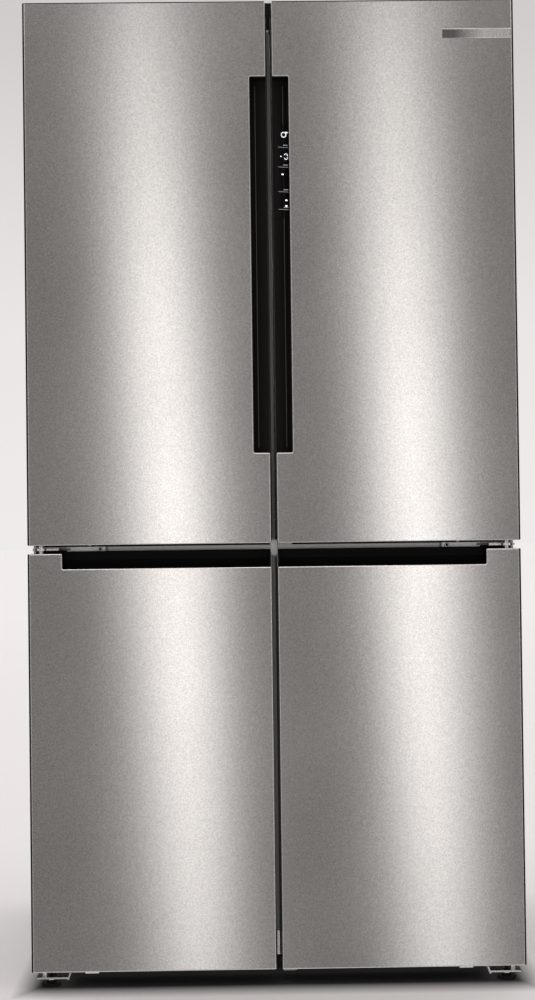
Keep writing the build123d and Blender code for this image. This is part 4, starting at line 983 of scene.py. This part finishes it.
def rear_details():
    """Pressed beads, screws and two blank plates on the back, and screws on the machine cover."""
    low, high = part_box("rear_panel")
    sheet = 355 * MM
    y0, y1 = sheet - 0.4 * MM, sheet + 1.6 * MM
    beads = Shape()
    for i in range(5):
        x = (i - 2) * 130 * MM
        beads.bar((x - 16 * MM, y0, 420 * MM), (x + 16 * MM, y1, 1620 * MM), 1.5 * MM, 4)
    for z in (345 * MM, 1700 * MM):
        beads.bar((-280 * MM, y0, z - 12 * MM), (280 * MM, y1, z + 12 * MM), 1.5 * MM, 4)
    beads.piece("rear_beads", "root", "rear_sheet")
    heads = Shape()
    inset = 9 * MM
    rows = [low.z + inset + (high.z - low.z - 2 * inset) * i / 8 for i in range(9)]
    places = [(side * (high.x - inset), sheet, z) for side in (-1, 1) for z in rows]
    places += [(x * 110 * MM, sheet, z) for x in range(-3, 4) for z in (rows[0], rows[-1])]
    cover_low, cover_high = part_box("machine_cover")
    edge = cover_high.y
    for x in (-430 * MM, -145 * MM, 145 * MM, 430 * MM):
        places += [(x, edge, cover_high.z - inset), (x, edge, cover_low.z + inset)]
    screws(heads, places)
    heads.piece("rear_screws", "root", "screw_steel")
    plate = Shape()
    y0, y1 = sheet - 0.2 * MM, sheet + 0.5 * MM
    plate.bar((-245 * MM, y0, 300 * MM), (-155 * MM, y1, 325 * MM), 0.2 * MM)
    plate.bar((155 * MM, y0, 1655 * MM), (255 * MM, y1, 1675 * MM), 0.2 * MM)
    plate.piece("blank_plates", "root", "satin_silver")


def top_details():
    """Pressed beads on the cabinet's top, and screws along the back of the top cover."""
    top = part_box("cabinet_shell")[1].z
    cover_low, cover_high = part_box("top_cover")
    y0, y1 = cover_high.y + 40 * MM, 310 * MM
    beads = Shape()
    for i in range(4):
        x = (i - 1.5) * 210 * MM
        beads.bar((x - 22 * MM, y0, top - 0.4 * MM), (x + 22 * MM, y1, top + 1.8 * MM), 1.6 * MM, 4)
    beads.piece("top_beads", "root", "cabinet_paint")
    heads = Shape()
    places = [(x * 135 * MM, cover_high.y, cover_low.z + 9 * MM) for x in range(-3, 4)]
    screws(heads, places, 3.6 * MM)
    heads.piece("cover_screws", "root", "screw_steel")


def machine_pipes():
    """Copper lines between the compressor and the condenser's coil, and the drier."""
    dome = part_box("compressor")[1].z
    coil_low, coil_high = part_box("condenser")
    roof = 0.258
    x, y = -0.386, 0.300
    points = [(0.120, 0.276, dome - 4 * MM), (0.120, 0.276, roof - 3 * MM), (0.060, 0.285, roof - 2 * MM),
              (-0.020, y, roof - 8 * MM), (-0.080, y, roof - 18 * MM), (-0.080, 0.292, 0.200),
              (coil_high.x - 2 * MM, 0.288, 0.185)]
    pipe("discharge_line", "root", "copper", points, 3.2 * MM)
    points = [(coil_low.x + 2 * MM, 0.240, 0.075), (coil_low.x - 25 * MM, 0.250, 0.072), (x, 0.285, 0.078),
              (x, y, 0.100)]
    pipe("liquid_line", "root", "copper", points, 2.6 * MM)
    points = [(x, y, 0.200), (x, y, 0.232), (-0.380, 0.280, 0.247), (-0.370, 0.240, roof + 2 * MM)]
    pipe("capillary", "root", "copper", points, 1.3 * MM)
    wide = 11 * MM
    drier = Shape()
    drier.rod((x, y, 0.112), (x, y, 0.184), wide, 1 * MM)
    drier.rod((x, y, 0.098), (x, y, 0.112), 4 * MM, 0, tip=wide)
    drier.rod((x, y, 0.184), (x, y, 0.201), wide, 0, tip=3 * MM)
    drier.piece("drier", "root", "copper")


make_camera()
materials = make_materials()
dress_nodes(materials)
make_world()
make_lights(make_floor())
panel_icons()
grip_lines()
trim_edge()
door_edges()
stop_pads()
seal_lips()
mullion_details()
crossbar_strip()
hinge_covers()
gasket_ridges()
bin_trims()
liner_beads()
drawer_trims()
shelf_fittings()
lamps()
duct_details()
rear_details()
top_details()
machine_pipes()
bpy.context.scene.view_settings.view_transform = "Standard"
